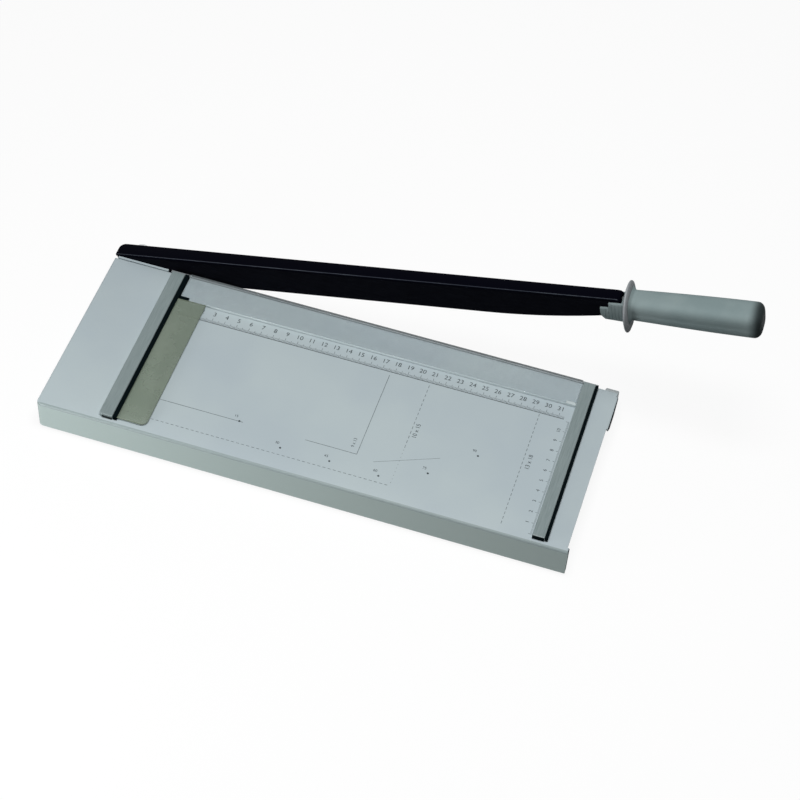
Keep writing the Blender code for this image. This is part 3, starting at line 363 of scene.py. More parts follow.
plasticLook = {
    "grip": {"colour": (0.200, 0.258, 0.262), "light": (0.240, 0.298, 0.300),
             "roughness": 0.56, "specular": 0.02, "grain": 950.0, "depth": 0.00014,
             # where the painted shade at the grip's end begins and where it is full, along the
             # handle
             "endShade": (0.117, 0.129)},
    "flange": {"colour": (0.270, 0.290, 0.305), "light": (0.330, 0.350, 0.362),
               "roughness": 0.52, "specular": 0.02, "grain": 1300.0, "depth": 0.00007},
    "socket": {"colour": (0.150, 0.188, 0.190), "light": (0.205, 0.248, 0.250),
               "roughness": 0.52, "specular": 0.02, "grain": 1300.0, "depth": 0.00007},
    "buffer": {"colour": (0.500, 0.545, 0.555), "light": (0.560, 0.600, 0.608),
               "roughness": 0.7, "specular": 0.2, "grain": 900.0, "depth": 0.00010},
    "plug": {"colour": (0.018, 0.024, 0.025), "light": (0.034, 0.042, 0.043),
             "roughness": 0.5, "specular": 0.01, "grain": 1300.0, "depth": 0.00007},
}


def mouldedPlastic(kind):
    # spark-eroded plastic: shallow pebble cells, a slow tone drift and lighter fine spots
    look = plasticLook[kind]
    made = Finish(kind + "Plastic", {"Specular IOR Level": look["specular"]})
    where = made.place()
    pebble = made.node("ShaderNodeTexVoronoi", {"feature": "F1"},
                       {"Vector": where, "Scale": look["grain"], "Randomness": 1.0})
    fine = made.noise(where, look["grain"] * 2.2, 2.0)
    drift = made.ramp(made.noise(where, 26.0, 4.0), 0.35, 0.7)
    tone = made.blend(drift, look["colour"], look["light"])
    tone = made.blend(made.ramp(fine, 0.6, 0.8) * 0.3, tone, look["light"])
    if "endShade" in look:
        # painted shade: the plastic darkens to the plug's colour over this stretch towards the
        # grip's end
        undo = handleFrame.inverted()
        along = made.axes(made.place(shift=undo.translation, turn=undo.to_euler()))[0]
        tone = made.blend(made.ramp(along + drift * 0.002, *look["endShade"]) * 0.95, tone,
                          plasticLook["plug"]["colour"])
    made.feed("Base Color", tone)
    made.feed("Roughness", drift * 0.10 + fine * 0.08 + (look["roughness"] - 0.08))
    made.bump(pebble + fine * 0.4, look["depth"], 0.5)
    return made.material


plateLook = {
    "tinted": {"colour": (0.215, 0.270, 0.205), "cloudy": (0.265, 0.315, 0.255),
               "alpha": 0.56, "roughness": 0.30},
    "clear": {"colour": (0.420, 0.500, 0.530), "cloudy": (0.560, 0.630, 0.655),
              "alpha": 0.16, "roughness": 0.06},
    # painted highlight: light, nearly opaque colour for the guard's side edges
    "edge": {"colour": (0.560, 0.640, 0.650), "cloudy": (0.700, 0.770, 0.780),
             "alpha": 0.86, "roughness": 0.18},
    # painted shade: near-black colour for the guard's rear edge
    "rearEdge": {"colour": (0.050, 0.055, 0.056), "cloudy": (0.100, 0.108, 0.110),
                 "alpha": 0.90, "roughness": 0.30},
    "tintedEdge": {"colour": (0.120, 0.150, 0.095), "cloudy": (0.170, 0.200, 0.140),
                   "alpha": 0.85, "roughness": 0.24},
}


def plasticSheet(kind):
    # see-through sheet with hairline scratches and a little dust that shows as haze
    look = plateLook[kind]
    made = Finish(kind + "Sheet", {"Specular IOR Level": 0.5, "IOR": 1.49})
    where = made.place()
    haze = made.ramp(made.noise(where, 30.0, 5.0, 0.6), 0.4, 0.75)
    hair = made.ramp(made.noise(made.place(stretch=(0.05, 1, 1), turn=(0, 0, 0.4)),
                                1400.0, 3.0, 0.6), 0.70, 0.80)
    made.feed("Base Color", made.blend(haze * 0.5 + hair * 0.3, look["colour"], look["cloudy"]))
    made.feed("Alpha", haze * 0.06 + hair * 0.06 + (look["alpha"] - 0.03))
    made.feed("Roughness", haze * 0.08 + hair * 0.2 + look["roughness"])
    return made.material


inkLook = {
    "full": {"colour": (0.028, 0.038, 0.042), "wearAndHighlight": (0.110, 0.130, 0.136)},
    "faint": {"colour": (0.130, 0.155, 0.162), "wearAndHighlight": (0.290, 0.330, 0.340)},
    "roughness": 0.55,
}


def printInk(kind):
    # grey screen print that has thinned in places
    look = inkLook[kind]
    made = Finish(kind + "Ink", {"Specular IOR Level": 0.3})
    thin = made.ramp(made.noise(made.place(), 260.0, 5.0, 0.7), 0.45, 0.75)
    made.feed("Base Color", made.blend(thin * 0.6, look["colour"], look["wearAndHighlight"]))
    made.feed("Roughness", thin * 0.15 + inkLook["roughness"])
    return made.material


finishes = {
    "paint": powderPaint(),
    "bar": barPaint(),
    "strip": blackStrip(),
    "rightFaceShade": blackStrip(),
    "enamel": armEnamel(),
    "wearAndHighlight": wornEdge(),
    "blade": metal("blackened"),
    "ground": metal("ground"),
    "honed": metal("honed"),
    "zinc": metal("zinc", (1, 1, 1)),
    "brass": metal("brass", (1, 1, 1)),
    "rubber": softRubber(),
    "grip": mouldedPlastic("grip"),
    "socket": mouldedPlastic("socket"),
    "flange": mouldedPlastic("flange"),
    "plug": mouldedPlastic("plug"),
    "tinted": plasticSheet("tinted"),
    "tintedEdge": plasticSheet("tintedEdge"),
    "clear": plasticSheet("clear"),
    "clearEdgeHighlight": plasticSheet("edge"),
    "rearEdge": plasticSheet("rearEdge"),
    "ink": printInk("full"),
    "faintInk": printInk("faint"),
    "buffer": mouldedPlastic("buffer"),
}
print("finishes made:", len(finishes))

nodeFinishes = {
    "table_tray": "paint", "knife_rail": "zinc", "bed_knife": "ground", "pivot_plate": "paint",
    "pivot_bolt": "zinc", "pivot_bush": "brass", "thrust_washer": "brass",
    "disc_spring_1": "zinc", "disc_spring_2": "zinc", "pivot_nut": "zinc",
    "left_stop_bar": "bar", "right_stop_bar": "bar", "left_bar_insert": "strip",
    "right_bar_insert": "strip", "side_plate": "tinted", "guard_plate": "clear",
    "guard_lug_left": "strip", "guard_lug_right": "clearEdgeHighlight", "arm_channel": "enamel",
    "upper_blade": "blade", "handle_tang": "zinc", "handle_socket": "socket",
    "handle_grip": "grip", "grip_nut": "zinc", "grip_plug": "plug", "arm_buffer": "buffer",
}


def finishFor(name):
    if name.startswith("foot_"):
        return "rubber"
    if "screw" in name:
        return "zinc"
    return nodeFinishes[name]


for name, item in nodes.items():
    item.data.materials.clear()
    item.data.materials.append(finishes[finishFor(name)])
print("nodes dressed:", len(nodes))


def piece(name, mesh, body, surfaces, stands=(), corner=32):
    # turn a finished bmesh into a piece that rides on its body
    bmesh.ops.recalc_face_normals(mesh, faces=mesh.faces)
    data = bpy.data.meshes.new(name)
    mesh.to_mesh(data)
    mesh.free()
    for surface in surfaces:
        data.materials.append(finishes[surface])
    data.shade_smooth()
    data.set_sharp_from_angle(angle=math.radians(corner))
    item = bpy.data.objects.new(name, data)
    bpy.context.scene.collection.objects.link(item)
    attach(item, body)
    if stands:
        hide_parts(*stands)
    return item


def merge(target, part, matrix=None):
    # add one bmesh to another
    if matrix is not None:
        part.transform(matrix)
    data = bpy.data.meshes.new("part")
    part.to_mesh(data)
    part.free()
    target.from_mesh(data)
    bpy.data.meshes.remove(data)


copyLook = {"weld": 0.000002, "flat": 0.6}


def copyOf(name):
    # a node's own shape with its loose triangles joined up again
    mesh = bmesh.new()
    mesh.from_mesh(nodes[name].data)
    bmesh.ops.remove_doubles(mesh, verts=mesh.verts, dist=copyLook["weld"])
    bmesh.ops.dissolve_limit(mesh, angle_limit=math.radians(copyLook["flat"]),
                             use_dissolve_boundaries=False,
                             verts=mesh.verts, edges=mesh.edges)
    for face in mesh.faces:
        face.material_index = 0
    return mesh


def block(low, high):
    mesh = bmesh.new()
    middle = (Vector(low) + Vector(high)) / 2
    size = Vector(high) - Vector(low)
    bmesh.ops.create_cube(mesh, size=1.0,
                          matrix=Matrix.Translation(middle) @ Matrix.Diagonal((*size, 1.0)))
    return mesh


def slab(outline, near, far):
    # an outline of (x, z) pairs pushed out along the depth
    mesh = bmesh.new()
    face = mesh.faces.new([mesh.verts.new((x, near, z)) for x, z in outline])
    made = bmesh.ops.extrude_face_region(mesh, geom=[face])
    moved = [part for part in made["geom"] if isinstance(part, bmesh.types.BMVert)]
    bmesh.ops.translate(mesh, verts=moved, vec=(0, far - near, 0))
    bmesh.ops.recalc_face_normals(mesh, faces=mesh.faces)
    return mesh


def roundEdges(mesh, edges, offset, segments):
    return bmesh.ops.bevel(mesh, geom=edges, offset=offset, offset_type="OFFSET",
                           segments=segments, profile=0.5, affect="EDGES", material=-1,
                           clamp_overlap=True)


def sharpEdges(mesh, angle=30):
    limit = math.radians(angle)
    return [edge for edge in mesh.edges if edge.is_manifold and edge.calc_face_angle(0) > limit]


def carve(mesh, cutter):
    # take the cutter's shape out of the mesh and hand back what is left
    items = []
    for part in (mesh, cutter):
        data = bpy.data.meshes.new("carving")
        part.to_mesh(data)
        part.free()
        item = bpy.data.objects.new("carving", data)
        bpy.context.scene.collection.objects.link(item)
        items.append(item)
    step = items[0].modifiers.new("cut", "BOOLEAN")
    step.operation = "DIFFERENCE"
    step.solver = "EXACT"
    step.object = items[1]
    graph = bpy.context.evaluated_depsgraph_get()
    left = bmesh.new()
    left.from_mesh(items[0].evaluated_get(graph).to_mesh())
    for item in items:
        data = item.data
        bpy.data.objects.remove(item)
        bpy.data.meshes.remove(data)
    return left


shellLook = {
    "edge": 0.0017,
    "segments": 4,
    "rimBand": 0.0003,   # rounded edges lie within this of the top face
    "frontTurn": -0.15,  # faces of the rounding that look to the front get the painted highlight
    "endTurn": 0.5,
}


def buildArm():
    toArm = armFrame.inverted()
    mesh = copyOf("arm_channel")
    top = armPlace["top"] - shellLook["rimBand"]
    rim = [edge for edge in sharpEdges(mesh)
           if all((toArm @ vert.co).z > top for vert in edge.verts)]
    made = roundEdges(mesh, rim, shellLook["edge"], shellLook["segments"])
    # painted highlight: the faces of the rounded top edge that look to the front take the lighter
    # grey finish
    for face in made["faces"]:
        way = toArm.to_3x3() @ face.normal
        if way.y < shellLook["frontTurn"] and abs(way.x) < shellLook["endTurn"]:
            face.material_index = 1
    return piece("arm_shell", mesh, "arm", ["enamel", "wearAndHighlight"], ["arm_channel"])


bladeLook = {"bevelTurn": 0.25}  # a face that looks this far down and back is the honed bevel


def buildBlade():
    toArm = armFrame.inverted().to_3x3()
    mesh = copyOf("upper_blade")
    for face in mesh.faces:
        face.normal_update()
        way = toArm @ face.normal
        if way.z < -bladeLook["bevelTurn"] and way.y > bladeLook["bevelTurn"]:
            face.material_index = 1
    return piece("cutting_blade", mesh, "arm", ["blade", "honed"],
                 ["upper_blade"])


socketLook = {
    "profile": [(0.5045, -0.0015), (0.5087, -0.0064), (0.5320, -0.0088), (0.5320, 0.0153),
                (0.5135, 0.0153), (0.5135, 0.0087), (0.5045, 0.0087)],
    "near": -0.0026,
    "far": 0.0166,
    "edge": 0.0012,
    "hollow": [(0.500, -0.0110), (0.5265, -0.0030), (0.5265, 0.0240), (0.500, 0.0240)],
    "hollowNear": -0.0003,
    "hollowFar": 0.0141,
    "flangeHeight": 0.0278,
    "flangeDepth": 0.0232,
    "flangeThickness": 0.0042,
    "flangeDrop": 0.0028,
    "flangeSides": 80,
    "rimSlope": 0.0044,
    "rimFlat": 0.30,  # share of the thickness that is left at the rim
    "rimReach": 0.0001,  # how far inside the slope the rounded rings are looked for
    "rimRound": 0.0007,
    "ribCount": 6,
    "ribStart": 0.5092,
    "ribPitch": 0.0033,
    "ribWidth": 0.0015,
    "ribProud": 0.0004,
    "ribRound": 0.8,
    "ribLow": -0.0046,
    "ribFall": 0.10,     # each rib starts lower by this share of its way along
    "ribShort": 0.0072,  # top of the ribs before ribStep, and past it
    "ribTall": 0.0138,
    "ribStep": 0.5140,
}


def buildFlange():
    # a disc that thins towards its rim, squeezed to an oval across the handle
    look = socketLook
    mesh = bmesh.new()
    half = look["flangeThickness"] / 2
    outer, slope = look["flangeHeight"], look["rimSlope"]
    flat = half * look["rimFlat"]
    section = [(-half, 0.0), (-half, outer - slope), (-flat, outer), (flat, outer),
               (half, outer - slope), (half, 0.0)]
    verts = [mesh.verts.new((along, 0, reach)) for along, reach in section]
    edges = [mesh.edges.new(pair) for pair in zip(verts, verts[1:])]
    bmesh.ops.spin(mesh, geom=verts + edges, cent=(0, 0, 0), axis=(1, 0, 0),
                   angle=math.tau, steps=look["flangeSides"], use_merge=True)
    bmesh.ops.remove_doubles(mesh, verts=mesh.verts, dist=hair)
    bmesh.ops.recalc_face_normals(mesh, faces=mesh.faces)
    # the rings at both ends of the slopes
    reach = outer - slope - look["rimReach"]
    rim = [edge for edge in sharpEdges(mesh, 20)
           if all(vert.co.yz.length > reach for vert in edge.verts)
           and abs(edge.verts[0].co.x - edge.verts[1].co.x) < hair]
    roundEdges(mesh, rim, look["rimRound"], 3)
    mesh.transform(Matrix.Translation((0, 0, -look["flangeDrop"]))
                   @ Matrix.Diagonal((1, look["flangeDepth"] / look["flangeHeight"], 1, 1)))
    for face in mesh.faces:
        face.material_index = 1
    return mesh


def buildSocket():
    # two cheeks round the end of the arm, and the flange in front of the grip
    look = socketLook
    body = slab(look["profile"], look["near"], look["far"])
    roundEdges(body, body.edges[:], look["edge"], 3)
    body = carve(body, slab(look["hollow"], look["hollowNear"], look["hollowFar"]))
    flange = buildFlange()
    whole = bmesh.new()
    merge(whole, body, armFrame)
    merge(whole, flange, handleFrame)
    return piece("hand_socket", whole, "arm", ["socket", "flange"],
                 ["handle_socket"])


def buildRibs():
    # fine upright ribs moulded on both cheeks
    look = socketLook
    mesh = bmesh.new()
    half = look["ribWidth"] / 2
    for level in (look["near"], look["far"]):
        for index in range(look["ribCount"]):
            x = look["ribStart"] + look["ribPitch"] * index
            low = look["ribLow"] - look["ribFall"] * (x - look["ribStart"])
            high = look["ribShort"] if x < look["ribStep"] else look["ribTall"]
            part = block((x - half, level - look["ribProud"], low),
                         (x + half, level + look["ribProud"], high))
            roundEdges(part, part.edges[:], look["ribProud"] * look["ribRound"], 2)
            merge(mesh, part)
    mesh.transform(armFrame)
    return piece("socket_ribs", mesh, "arm", ["socket"])


gripLook = {
    "sides": 48,
    "squareness": 3.5,
    "length": 0.130,
    "start": 0.0024,
    "neck": 0.0128,
    "end": 0.0150,
    "flare": 0.0035,
    "flareReach": 0.9,
    "flareCurve": 1.6,
    "flareSteps": 5,
    "round": 0.0070,
    "roundSteps": 9,
    "swellSteps": 12,
    "mouth": 0.0093,
    "mouthDepth": 0.0032,
    "mouthCentre": 0.0015,
    "lip": 0.0002,
    "seam": 0.00022,
    "seamFrom": 0.004,
    "seamBand": 0.00001,
}


def gripStations():
    # (distance along the grip, radius) from the flange to the rounded end
    look = gripLook
    start, neck, flare = look["start"], look["neck"], look["flare"]
    stations = []
    for step in range(look["flareSteps"] + 1):
        angle = math.pi / 2 * step / look["flareSteps"]
        stations.append((start + flare * math.sin(angle) * look["flareReach"],
                         neck + flare * (1 - math.sin(angle)) ** look["flareCurve"]))
    for step in range(1, look["swellSteps"]):
        share = step / look["swellSteps"]
        along = start + flare + (look["length"] - look["round"] - start - flare) * share
        stations.append((along, neck + (look["end"] - neck) * math.sin(share * math.pi / 2)))
    for step in range(look["roundSteps"] + 1):
        angle = math.pi / 2 * step / look["roundSteps"]
        stations.append((look["length"] - look["round"] + look["round"] * math.sin(angle),
                         look["end"] - look["round"] + look["round"] * math.cos(angle)))
    return stations


def softSquare(vert, along, radius, power):
    # move a point of the round ring out to the grip's soft-square section
    across, upward = vert.co.y, vert.co.z
    turn = math.atan2(upward, across)
    size = abs(math.cos(turn)) ** power + abs(math.sin(turn)) ** power
    reach = radius * size ** (-1 / power)
    vert.co = Vector((along, reach * math.cos(turn), reach * math.sin(turn)))


def buildGrip():
    look = gripLook
    mesh = bmesh.new()
    # the first ring's size is of no account, softSquare sets it
    ring = bmesh.ops.create_circle(mesh, cap_ends=False, segments=look["sides"], radius=0.01)
    bmesh.ops.rotate(mesh, verts=ring["verts"], cent=(0, 0, 0),
                     matrix=Matrix.Rotation(math.pi / 2, 3, "Y"))
    edges = mesh.edges[:]
    stations = gripStations()
    first = mesh.verts[:]
    for vert in first:
        softSquare(vert, *stations[0], look["squareness"])
    end, lip, floor = look["length"], look["lip"], look["length"] - look["mouthDepth"]
    mouth = [(end - lip, look["mouth"] + lip * 2), (end - lip * 4, look["mouth"]),
             (floor, look["mouth"]), (floor, look["mouthCentre"])]
    plan = [(along, radius, look["squareness"]) for along, radius in stations[1:]]
    plan += [(along, radius, 2.0) for along, radius in mouth]
    for along, radius, power in plan:
        made = bmesh.ops.extrude_edge_only(mesh, edges=edges)["geom"]
        verts = [part for part in made if isinstance(part, bmesh.types.BMVert)]
        fresh = set(verts)
        edges = [part for part in made if isinstance(part, bmesh.types.BMEdge)
                 and all(vert in fresh for vert in part.verts)]
        for vert in verts:
            softSquare(vert, along, radius, power)
    bmesh.ops.contextual_create(mesh, geom=edges)
    bmesh.ops.contextual_create(mesh, geom=[edge for edge in mesh.edges if edge.is_boundary])
    # shallow mould seam along the front and the back of the grip
    seamStart, seamEnd = look["start"] + look["seamFrom"], end - look["round"]
    for vert in mesh.verts:
        if seamStart < vert.co.x < seamEnd and abs(vert.co.z) < look["seamBand"]:
            vert.co.y *= 1 - look["seam"] / abs(vert.co.y)
    mesh.transform(handleFrame)
    return piece("hand_grip", mesh, "arm", ["grip"], ["handle_grip"], corner=50)


trayLook = {
    "outer": 0.5385,
    "cut": 0.006,    # deeper than the lip is thick
    "endTurn": 0.7,  # faces that look to the right this far take the black strip finish, as painted shade
    "tab": [(0.150, -0.0030), (0.1582, -0.0030), (0.1708, -0.0135), (0.1880, -0.0135),
            (0.2012, -0.0030), (0.2060, -0.0030), (0.2060, -0.0360), (0.1500, -0.0360)],
}


def buildTray():
    # the rear tab's lip is cut to a low trapezoid, as in the photograph
    look = trayLook
    cutter = slab(look["tab"], look["outer"], look["outer"] + look["cut"])
    swapAxes = Matrix(((0, 1, 0, 0), (1, 0, 0, 0), (0, 0, 1, 0), (0, 0, 0, 1)))
    cutter.transform(swapAxes)
    bmesh.ops.recalc_face_normals(cutter, faces=cutter.faces)
    cutter.transform(tableFrame)
    mesh = carve(copyOf("table_tray"), cutter)
    # painted shade: at the right end, faces that look to the right take the black strip finish
    for face in mesh.faces:
        face.normal_update()
        atEnd = face.calc_center_median().x - tableCorner.x > look["outer"]
        face.material_index = 1 if atEnd and face.normal.x > look["endTurn"] else 0
    return piece("tray_shell", mesh, "base", ["paint", "rightFaceShade"],
                 ["table_tray"])


sheetLook = {"guardEdge": 0.0004, "plateEdge": 0.0003, "flatTurn": 0.5, "rearTurn": 0.7}


def buildSheet(name, node, body, edge, surfaces):
    # a clear sheet with rounded edges; its faces, its edges and its rear edge differ in finish. On
    # the finger guard the light side edges are painted highlight and the near-black rear edge is
    # painted shade
    mesh = copyOf(node)
    roundEdges(mesh, sharpEdges(mesh), edge, 2)
    for face in mesh.faces:
        face.normal_update()
        flat = abs(face.normal.z) > sheetLook["flatTurn"]
        rear = face.normal.y > sheetLook["rearTurn"]
        face.material_index = 0 if flat else 2 if rear else 1
    return piece(name, mesh, body, surfaces, [node])


capLook = {
    "thick": 0.0007,
    "inset": 0.0002,
    "edge": 0.00025,
    "front": 0.0055,
    "recess": 0.00005,
    "low": 0.0004,
    # left side, right side and height of each bar
    "bars": {"left": (0.0678, 0.0788, 0.0030), "right": (0.5046, 0.5169, 0.0048)},
}


def buildCaps():
    # a thin dark cap closes the front end of each bar: the left one, near black, is painted shade
    # over the bar's shaded end face, the right one is black
    look = capLook
    mesh = bmesh.new()
    for index, (left, right, height) in enumerate(look["bars"].values()):
        part = block((left + look["inset"], look["front"] - look["thick"], look["low"]),
                     (right - look["inset"], look["front"] - look["recess"], height))
        roundEdges(part, part.edges[:], look["edge"], 2)
        # the left cap takes the plug finish as painted shade, the right cap the black strip finish
        for face in part.faces:
            face.material_index = index
        merge(mesh, part)
    mesh.transform(tableFrame)
    piece("bar_end_caps_and_shade", mesh, "base", ["plug", "strip"])


printLook = {
    "thick": 0.00004,
    "line": 0.00060,
    "fine": 0.00036,
    "unit": 0.01307,  # from one number to the next
    "rulerStart": 0.0861,
    "rulerEnd": 0.4970,
    "sideStart": 0.0095,
}


def addBar(mesh, x0, y0, x1, y1):
    # one printed stroke, a hair thick so that it is a closed shape
    merge(mesh, block((x0, y0, -printLook["thick"] / 4), (x1, y1, printLook["thick"])))


def addStroke(mesh, start, end, width):
    start, end = Vector(start), Vector(end)
    run = end - start
    part = block((0, -width / 2, -printLook["thick"] / 4),
                 (run.length, width / 2, printLook["thick"]))
    merge(mesh, part, Matrix.Translation((start.x, start.y, 0))
          @ Matrix.Rotation(math.atan2(run.y, run.x), 4, "Z"))


def addDashes(mesh, start, end, width, dash, gap):
    start, end = Vector(start), Vector(end)
    run = end - start
    count = max(1, int((run.length + gap) / (dash + gap)))
    step = run / count
    for index in range(count):
        first = start + step * index
        addStroke(mesh, first, first + step * (dash / (dash + gap)), width)


def addDot(mesh, x, y, radius):
    part = bmesh.new()
    bmesh.ops.create_cone(part, cap_ends=True, segments=14, radius1=radius, radius2=radius,
                          depth=printLook["thick"] * 1.25)
    merge(mesh, part, Matrix.Translation((x, y, printLook["thick"] * 0.375)))


def addText(mesh, words, x, y, height, turn=0.0):
    shape = bpy.data.curves.new("figures", "FONT")
    shape.body = words
    shape.size = height
    shape.align_x = "CENTER"
    shape.align_y = "CENTER"
    shape.extrude = printLook["thick"] / 2
    shape.resolution_u = 3
    item = bpy.data.objects.new("figures", shape)
    bpy.context.scene.collection.objects.link(item)
    graph = bpy.context.evaluated_depsgraph_get()
    graph.update()
    data = bpy.data.meshes.new_from_object(item.evaluated_get(graph))
    data.transform(Matrix.Translation((x, y, printLook["thick"] / 2))
                   @ Matrix.Rotation(turn, 4, "Z"))
    mesh.from_mesh(data)
    bpy.data.objects.remove(item)
    bpy.data.curves.remove(shape)
    bpy.data.meshes.remove(data)


scaleLook = {
    "rulerBase": 0.1556,
    "whole": 0.0062,
    "half": 0.0046,
    "tenth": 0.0032,
    "sideTicks": 0.5036,
    "sideUnits": 11,
    "sideWhole": 0.0036,
    "sideTenth": 0.0018,
}


def buildScales():
    look, ink = scaleLook, printLook
    unit, half, base = ink["unit"], ink["fine"] / 2, look["rulerBase"]
    mesh = bmesh.new()
    # scale along the cutting edge
    addStroke(mesh, (ink["rulerStart"], base), (ink["rulerEnd"], base), ink["line"])
    count = int((ink["rulerEnd"] - ink["rulerStart"]) / unit * 10)
    for index in range(count + 1):
        x = ink["rulerStart"] + unit * index / 10
        kind = "whole" if index % 10 == 0 else "half" if index % 5 == 0 else "tenth"
        addBar(mesh, x - half, base, x + half, base + look[kind])
    # scale up the right bar
    for index in range(10 * look["sideUnits"] + 1):
        y = ink["sideStart"] + unit * index / 10
        kind = "sideWhole" if index % 10 == 0 else "sideTenth"
        addBar(mesh, look["sideTicks"] - look[kind], y - half, look["sideTicks"], y + half)
    mesh.transform(tableFrame)
    piece("scale_lines", mesh, "base", ["ink"])


frameLook = {
    "strokes": [((0.31725, 0.0451), (0.31725, 0.1515)), ((0.2646, 0.0451), (0.31725, 0.0451)),
                ((0.1134, 0.0451), (0.1998, 0.0451))],
    # start, end, kind of line, length of a dash and of the gap after it
    "dashes": [((0.1134, 0.0192), (0.3588, 0.0192), "line", 0.0030, 0.0022),
               ((0.3588, 0.1520), (0.3588, 0.0658), "line", 0.0036, 0.0026),
               ((0.3588, 0.0658), (0.3588, 0.0192), "fine", 0.0012, 0.0036),
               ((0.4725, 0.1540), (0.4725, 0.0097), "line", 0.0034, 0.0024)],
    "angleLine": ((0.3353, 0.0416), (0.3953, 0.0675)),
}


def buildFrames():
    # format frames, corner lines and an angle line, printed fainter than the scales
    look = frameLook
    mesh = bmesh.new()
    for start, end in look["strokes"]:
        addStroke(mesh, start, end, printLook["line"])
    for start, end, kind, dash, gap in look["dashes"]:
        addDashes(mesh, start, end, printLook[kind], dash, gap)
    addStroke(mesh, *look["angleLine"], printLook["fine"])
    mesh.transform(tableFrame)
    piece("format_frames", mesh, "base", ["faintInk"])


figureLook = {
    "numberY": 0.1672,
    "numberSize": 0.0074,
    "endMargin": 0.002,  # no number stands closer than this to the ruler's end
    "sideX": 0.4958,
    "sideSize": 0.0052,
    "sideCount": 10,
    # words, place and height of the format names
    "formats": [("9 x 13", 0.3105, 0.0580, 0.0046), ("10 x 15", 0.3637, 0.0920, 0.0062),
                ("13 x 18", 0.4786, 0.0920, 0.0062)],
    # each angle has a dot, and its figure up and to the left
    "angles": [("15", 0.196, 0.0454), ("30", 0.2446, 0.0275), ("45", 0.2948, 0.0281),
               ("60", 0.3451, 0.0270), ("75", 0.3893, 0.0459), ("90", 0.4293, 0.0826)],
    "angleSize": 0.0042,
    "angleShift": (-0.0048, 0.0052),
    "dot": 0.0011,
}


def buildFigures():
    look, ink = figureLook, printLook
    unit, upright = ink["unit"], math.pi / 2
    mesh = bmesh.new()
    number = 1
    while ink["rulerStart"] + unit * number < ink["rulerEnd"] - look["endMargin"]:
        addText(mesh, str(number), ink["rulerStart"] + unit * number, look["numberY"],
                look["numberSize"])
        number += 1
    for index in range(1, look["sideCount"] + 1):
        addText(mesh, str(index), look["sideX"], ink["sideStart"] + unit * index,
                look["sideSize"], upright)
    for words, x, y, height in look["formats"]:
        addText(mesh, words, x, y, height, upright)
    for words, x, y in look["angles"]:
        addDot(mesh, x, y, look["dot"])
        addText(mesh, words, x + look["angleShift"][0], y + look["angleShift"][1],
                look["angleSize"])
    mesh.transform(tableFrame)
    piece("scale_figures", mesh, "base", ["ink"])


buildTray()
print("tray built")
buildArm()
buildBlade()
print("arm and blade built")
buildSocket()
buildRibs()
buildGrip()
print("handle built")
# the guard's side edges take a painted highlight, its rear edge painted shade
buildSheet("finger_guard", "guard_plate", "guard", sheetLook["guardEdge"],
           ["clear", "clearEdgeHighlight", "rearEdge"])
buildSheet("paper_plate", "side_plate", "base", sheetLook["plateEdge"],
           ["tinted", "tintedEdge", "tintedEdge"])
buildCaps()
print("clear sheets and bar caps built")
buildScales()
buildFrames()
buildFigures()
print("print laid on the table")


stageLook = {
    "floorSize": 12.0,
    "floorGap": 0.0002,
    "white": 1.0,
    "share": 0.90,
    "seen": (0.95, 0.95, 0.95),
    "bounce": (0.14, 0.14, 0.14),
    "sky": (0.93, 0.97, 1.0),
    "skyLevel": 0.08,
}


def backgroundRays(owner):
    # camera and glossy rays see the plain white background
    camera = owner.node("ShaderNodeLightPath", output=0)
    glossy = owner.node("ShaderNodeLightPath", output=3)
    return camera.most(glossy)


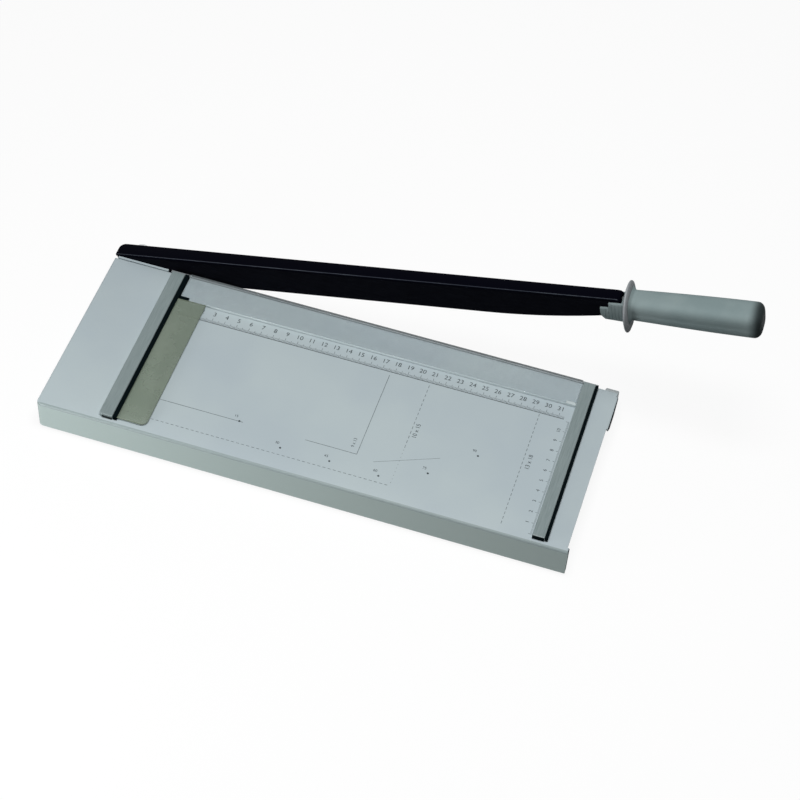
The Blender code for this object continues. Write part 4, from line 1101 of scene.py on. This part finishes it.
def buildStage():
    look = stageLook
    made = Finish("floorPaper", {"Roughness": 0.9, "Specular IOR Level": 0.0})
    rays = backgroundRays(made)
    made.feed("Base Color", made.blend(rays, look["bounce"], look["seen"]))
    glow = made.node("ShaderNodeEmission", None, {"Color": (1, 1, 1), "Strength": look["white"]})
    mix = made.node("ShaderNodeMixShader", None,
                    {0: rays * look["share"], 1: Wire(made.tree, made.shader.outputs[0]), 2: glow})
    made.tree.links.new(mix.socket, made.tree.nodes["Material Output"].inputs["Surface"])
    mesh = bmesh.new()
    bmesh.ops.create_grid(mesh, x_segments=8, y_segments=8, size=look["floorSize"] / 2)
    bmesh.ops.translate(mesh, verts=mesh.verts, vec=(0, 0, cadBox[0].z - look["floorGap"]))
    data = bpy.data.meshes.new("floor")
    mesh.to_mesh(data)
    mesh.free()
    data.materials.append(made.material)
    floor = bpy.data.objects.new("floor", data)
    bpy.context.scene.collection.objects.link(floor)

    world = bpy.data.worlds.new("studio")
    world.use_nodes = True
    bpy.context.scene.world = world
    sky = Nodes(world.node_tree)
    rays = backgroundRays(sky)
    dim = sky.node("ShaderNodeBackground", None,
                   {"Color": look["sky"], "Strength": look["skyLevel"]})
    white = sky.node("ShaderNodeBackground", None,
                     {"Color": (1, 1, 1), "Strength": look["white"]})
    mix = sky.node("ShaderNodeMixShader", None, {0: rays, 1: dim, 2: white})
    sky.tree.links.new(mix.socket, sky.tree.nodes["World Output"].inputs["Surface"])


lampLook = {
    "key": {"at": (-0.62, -0.72, 0.09), "to": (-0.22, -0.10, 0.0), "size": 0.35, "level": 1.02},
    "top": {"at": (0.10, -0.20, 1.75), "to": (0.04, 0.0, 0.03), "size": 0.7, "level": 0.87},
}


def addLamps():
    # level is the share of a white sheet's brightness that the lamp gives where it points
    for name, look in lampLook.items():
        data = bpy.data.lights.new(name, "AREA")
        data.shape = "SQUARE"
        data.size = look["size"]
        run = Vector(look["to"]) - Vector(look["at"])
        data.energy = look["level"] * math.pi ** 2 * run.length_squared
        lamp = bpy.data.objects.new(name, data)
        lamp.location = look["at"]
        lamp.rotation_mode = "QUATERNION"
        lamp.rotation_quaternion = run.to_track_quat("-Z", "Y")
        bpy.context.scene.collection.objects.link(lamp)


cameraLook = {
    "lens": 97.56,
    "sensor": 36.0,
    "azimuth": 13.83,
    "elevation": 50.75,
    "roll": 4.58,
    "target": (0.33665, 0.12415, 0.0),
    "distance": 2.1527,
    "nearest": 0.05,
}


def addCamera():
    # the view of the photograph
    look = cameraLook
    azimuth, elevation, roll = (math.radians(look[key]) for key in ("azimuth", "elevation", "roll"))
    back = Vector((math.sin(azimuth) * math.cos(elevation),
                   -math.cos(azimuth) * math.cos(elevation), math.sin(elevation)))
    right = Vector((math.cos(azimuth), math.sin(azimuth), 0))
    up = back.cross(right)
    across = right * math.cos(roll) + up * math.sin(roll)
    upward = up * math.cos(roll) - right * math.sin(roll)
    data = bpy.data.cameras.new("photoView")
    data.lens = look["lens"]
    data.sensor_width = look["sensor"]
    data.clip_start = look["nearest"]
    camera = bpy.data.objects.new("photoView", data)
    place = Matrix((across, upward, back)).transposed().to_4x4()
    place.translation = tableCorner + Vector(look["target"]) + back * look["distance"]
    camera.matrix_world = place
    bpy.context.scene.collection.objects.link(camera)
    bpy.context.scene.camera = camera


buildStage()
addLamps()
addCamera()
bpy.context.scene.view_settings.view_transform = "Standard"
print("stage, lamps and camera set")

bpy.context.view_layer.update()
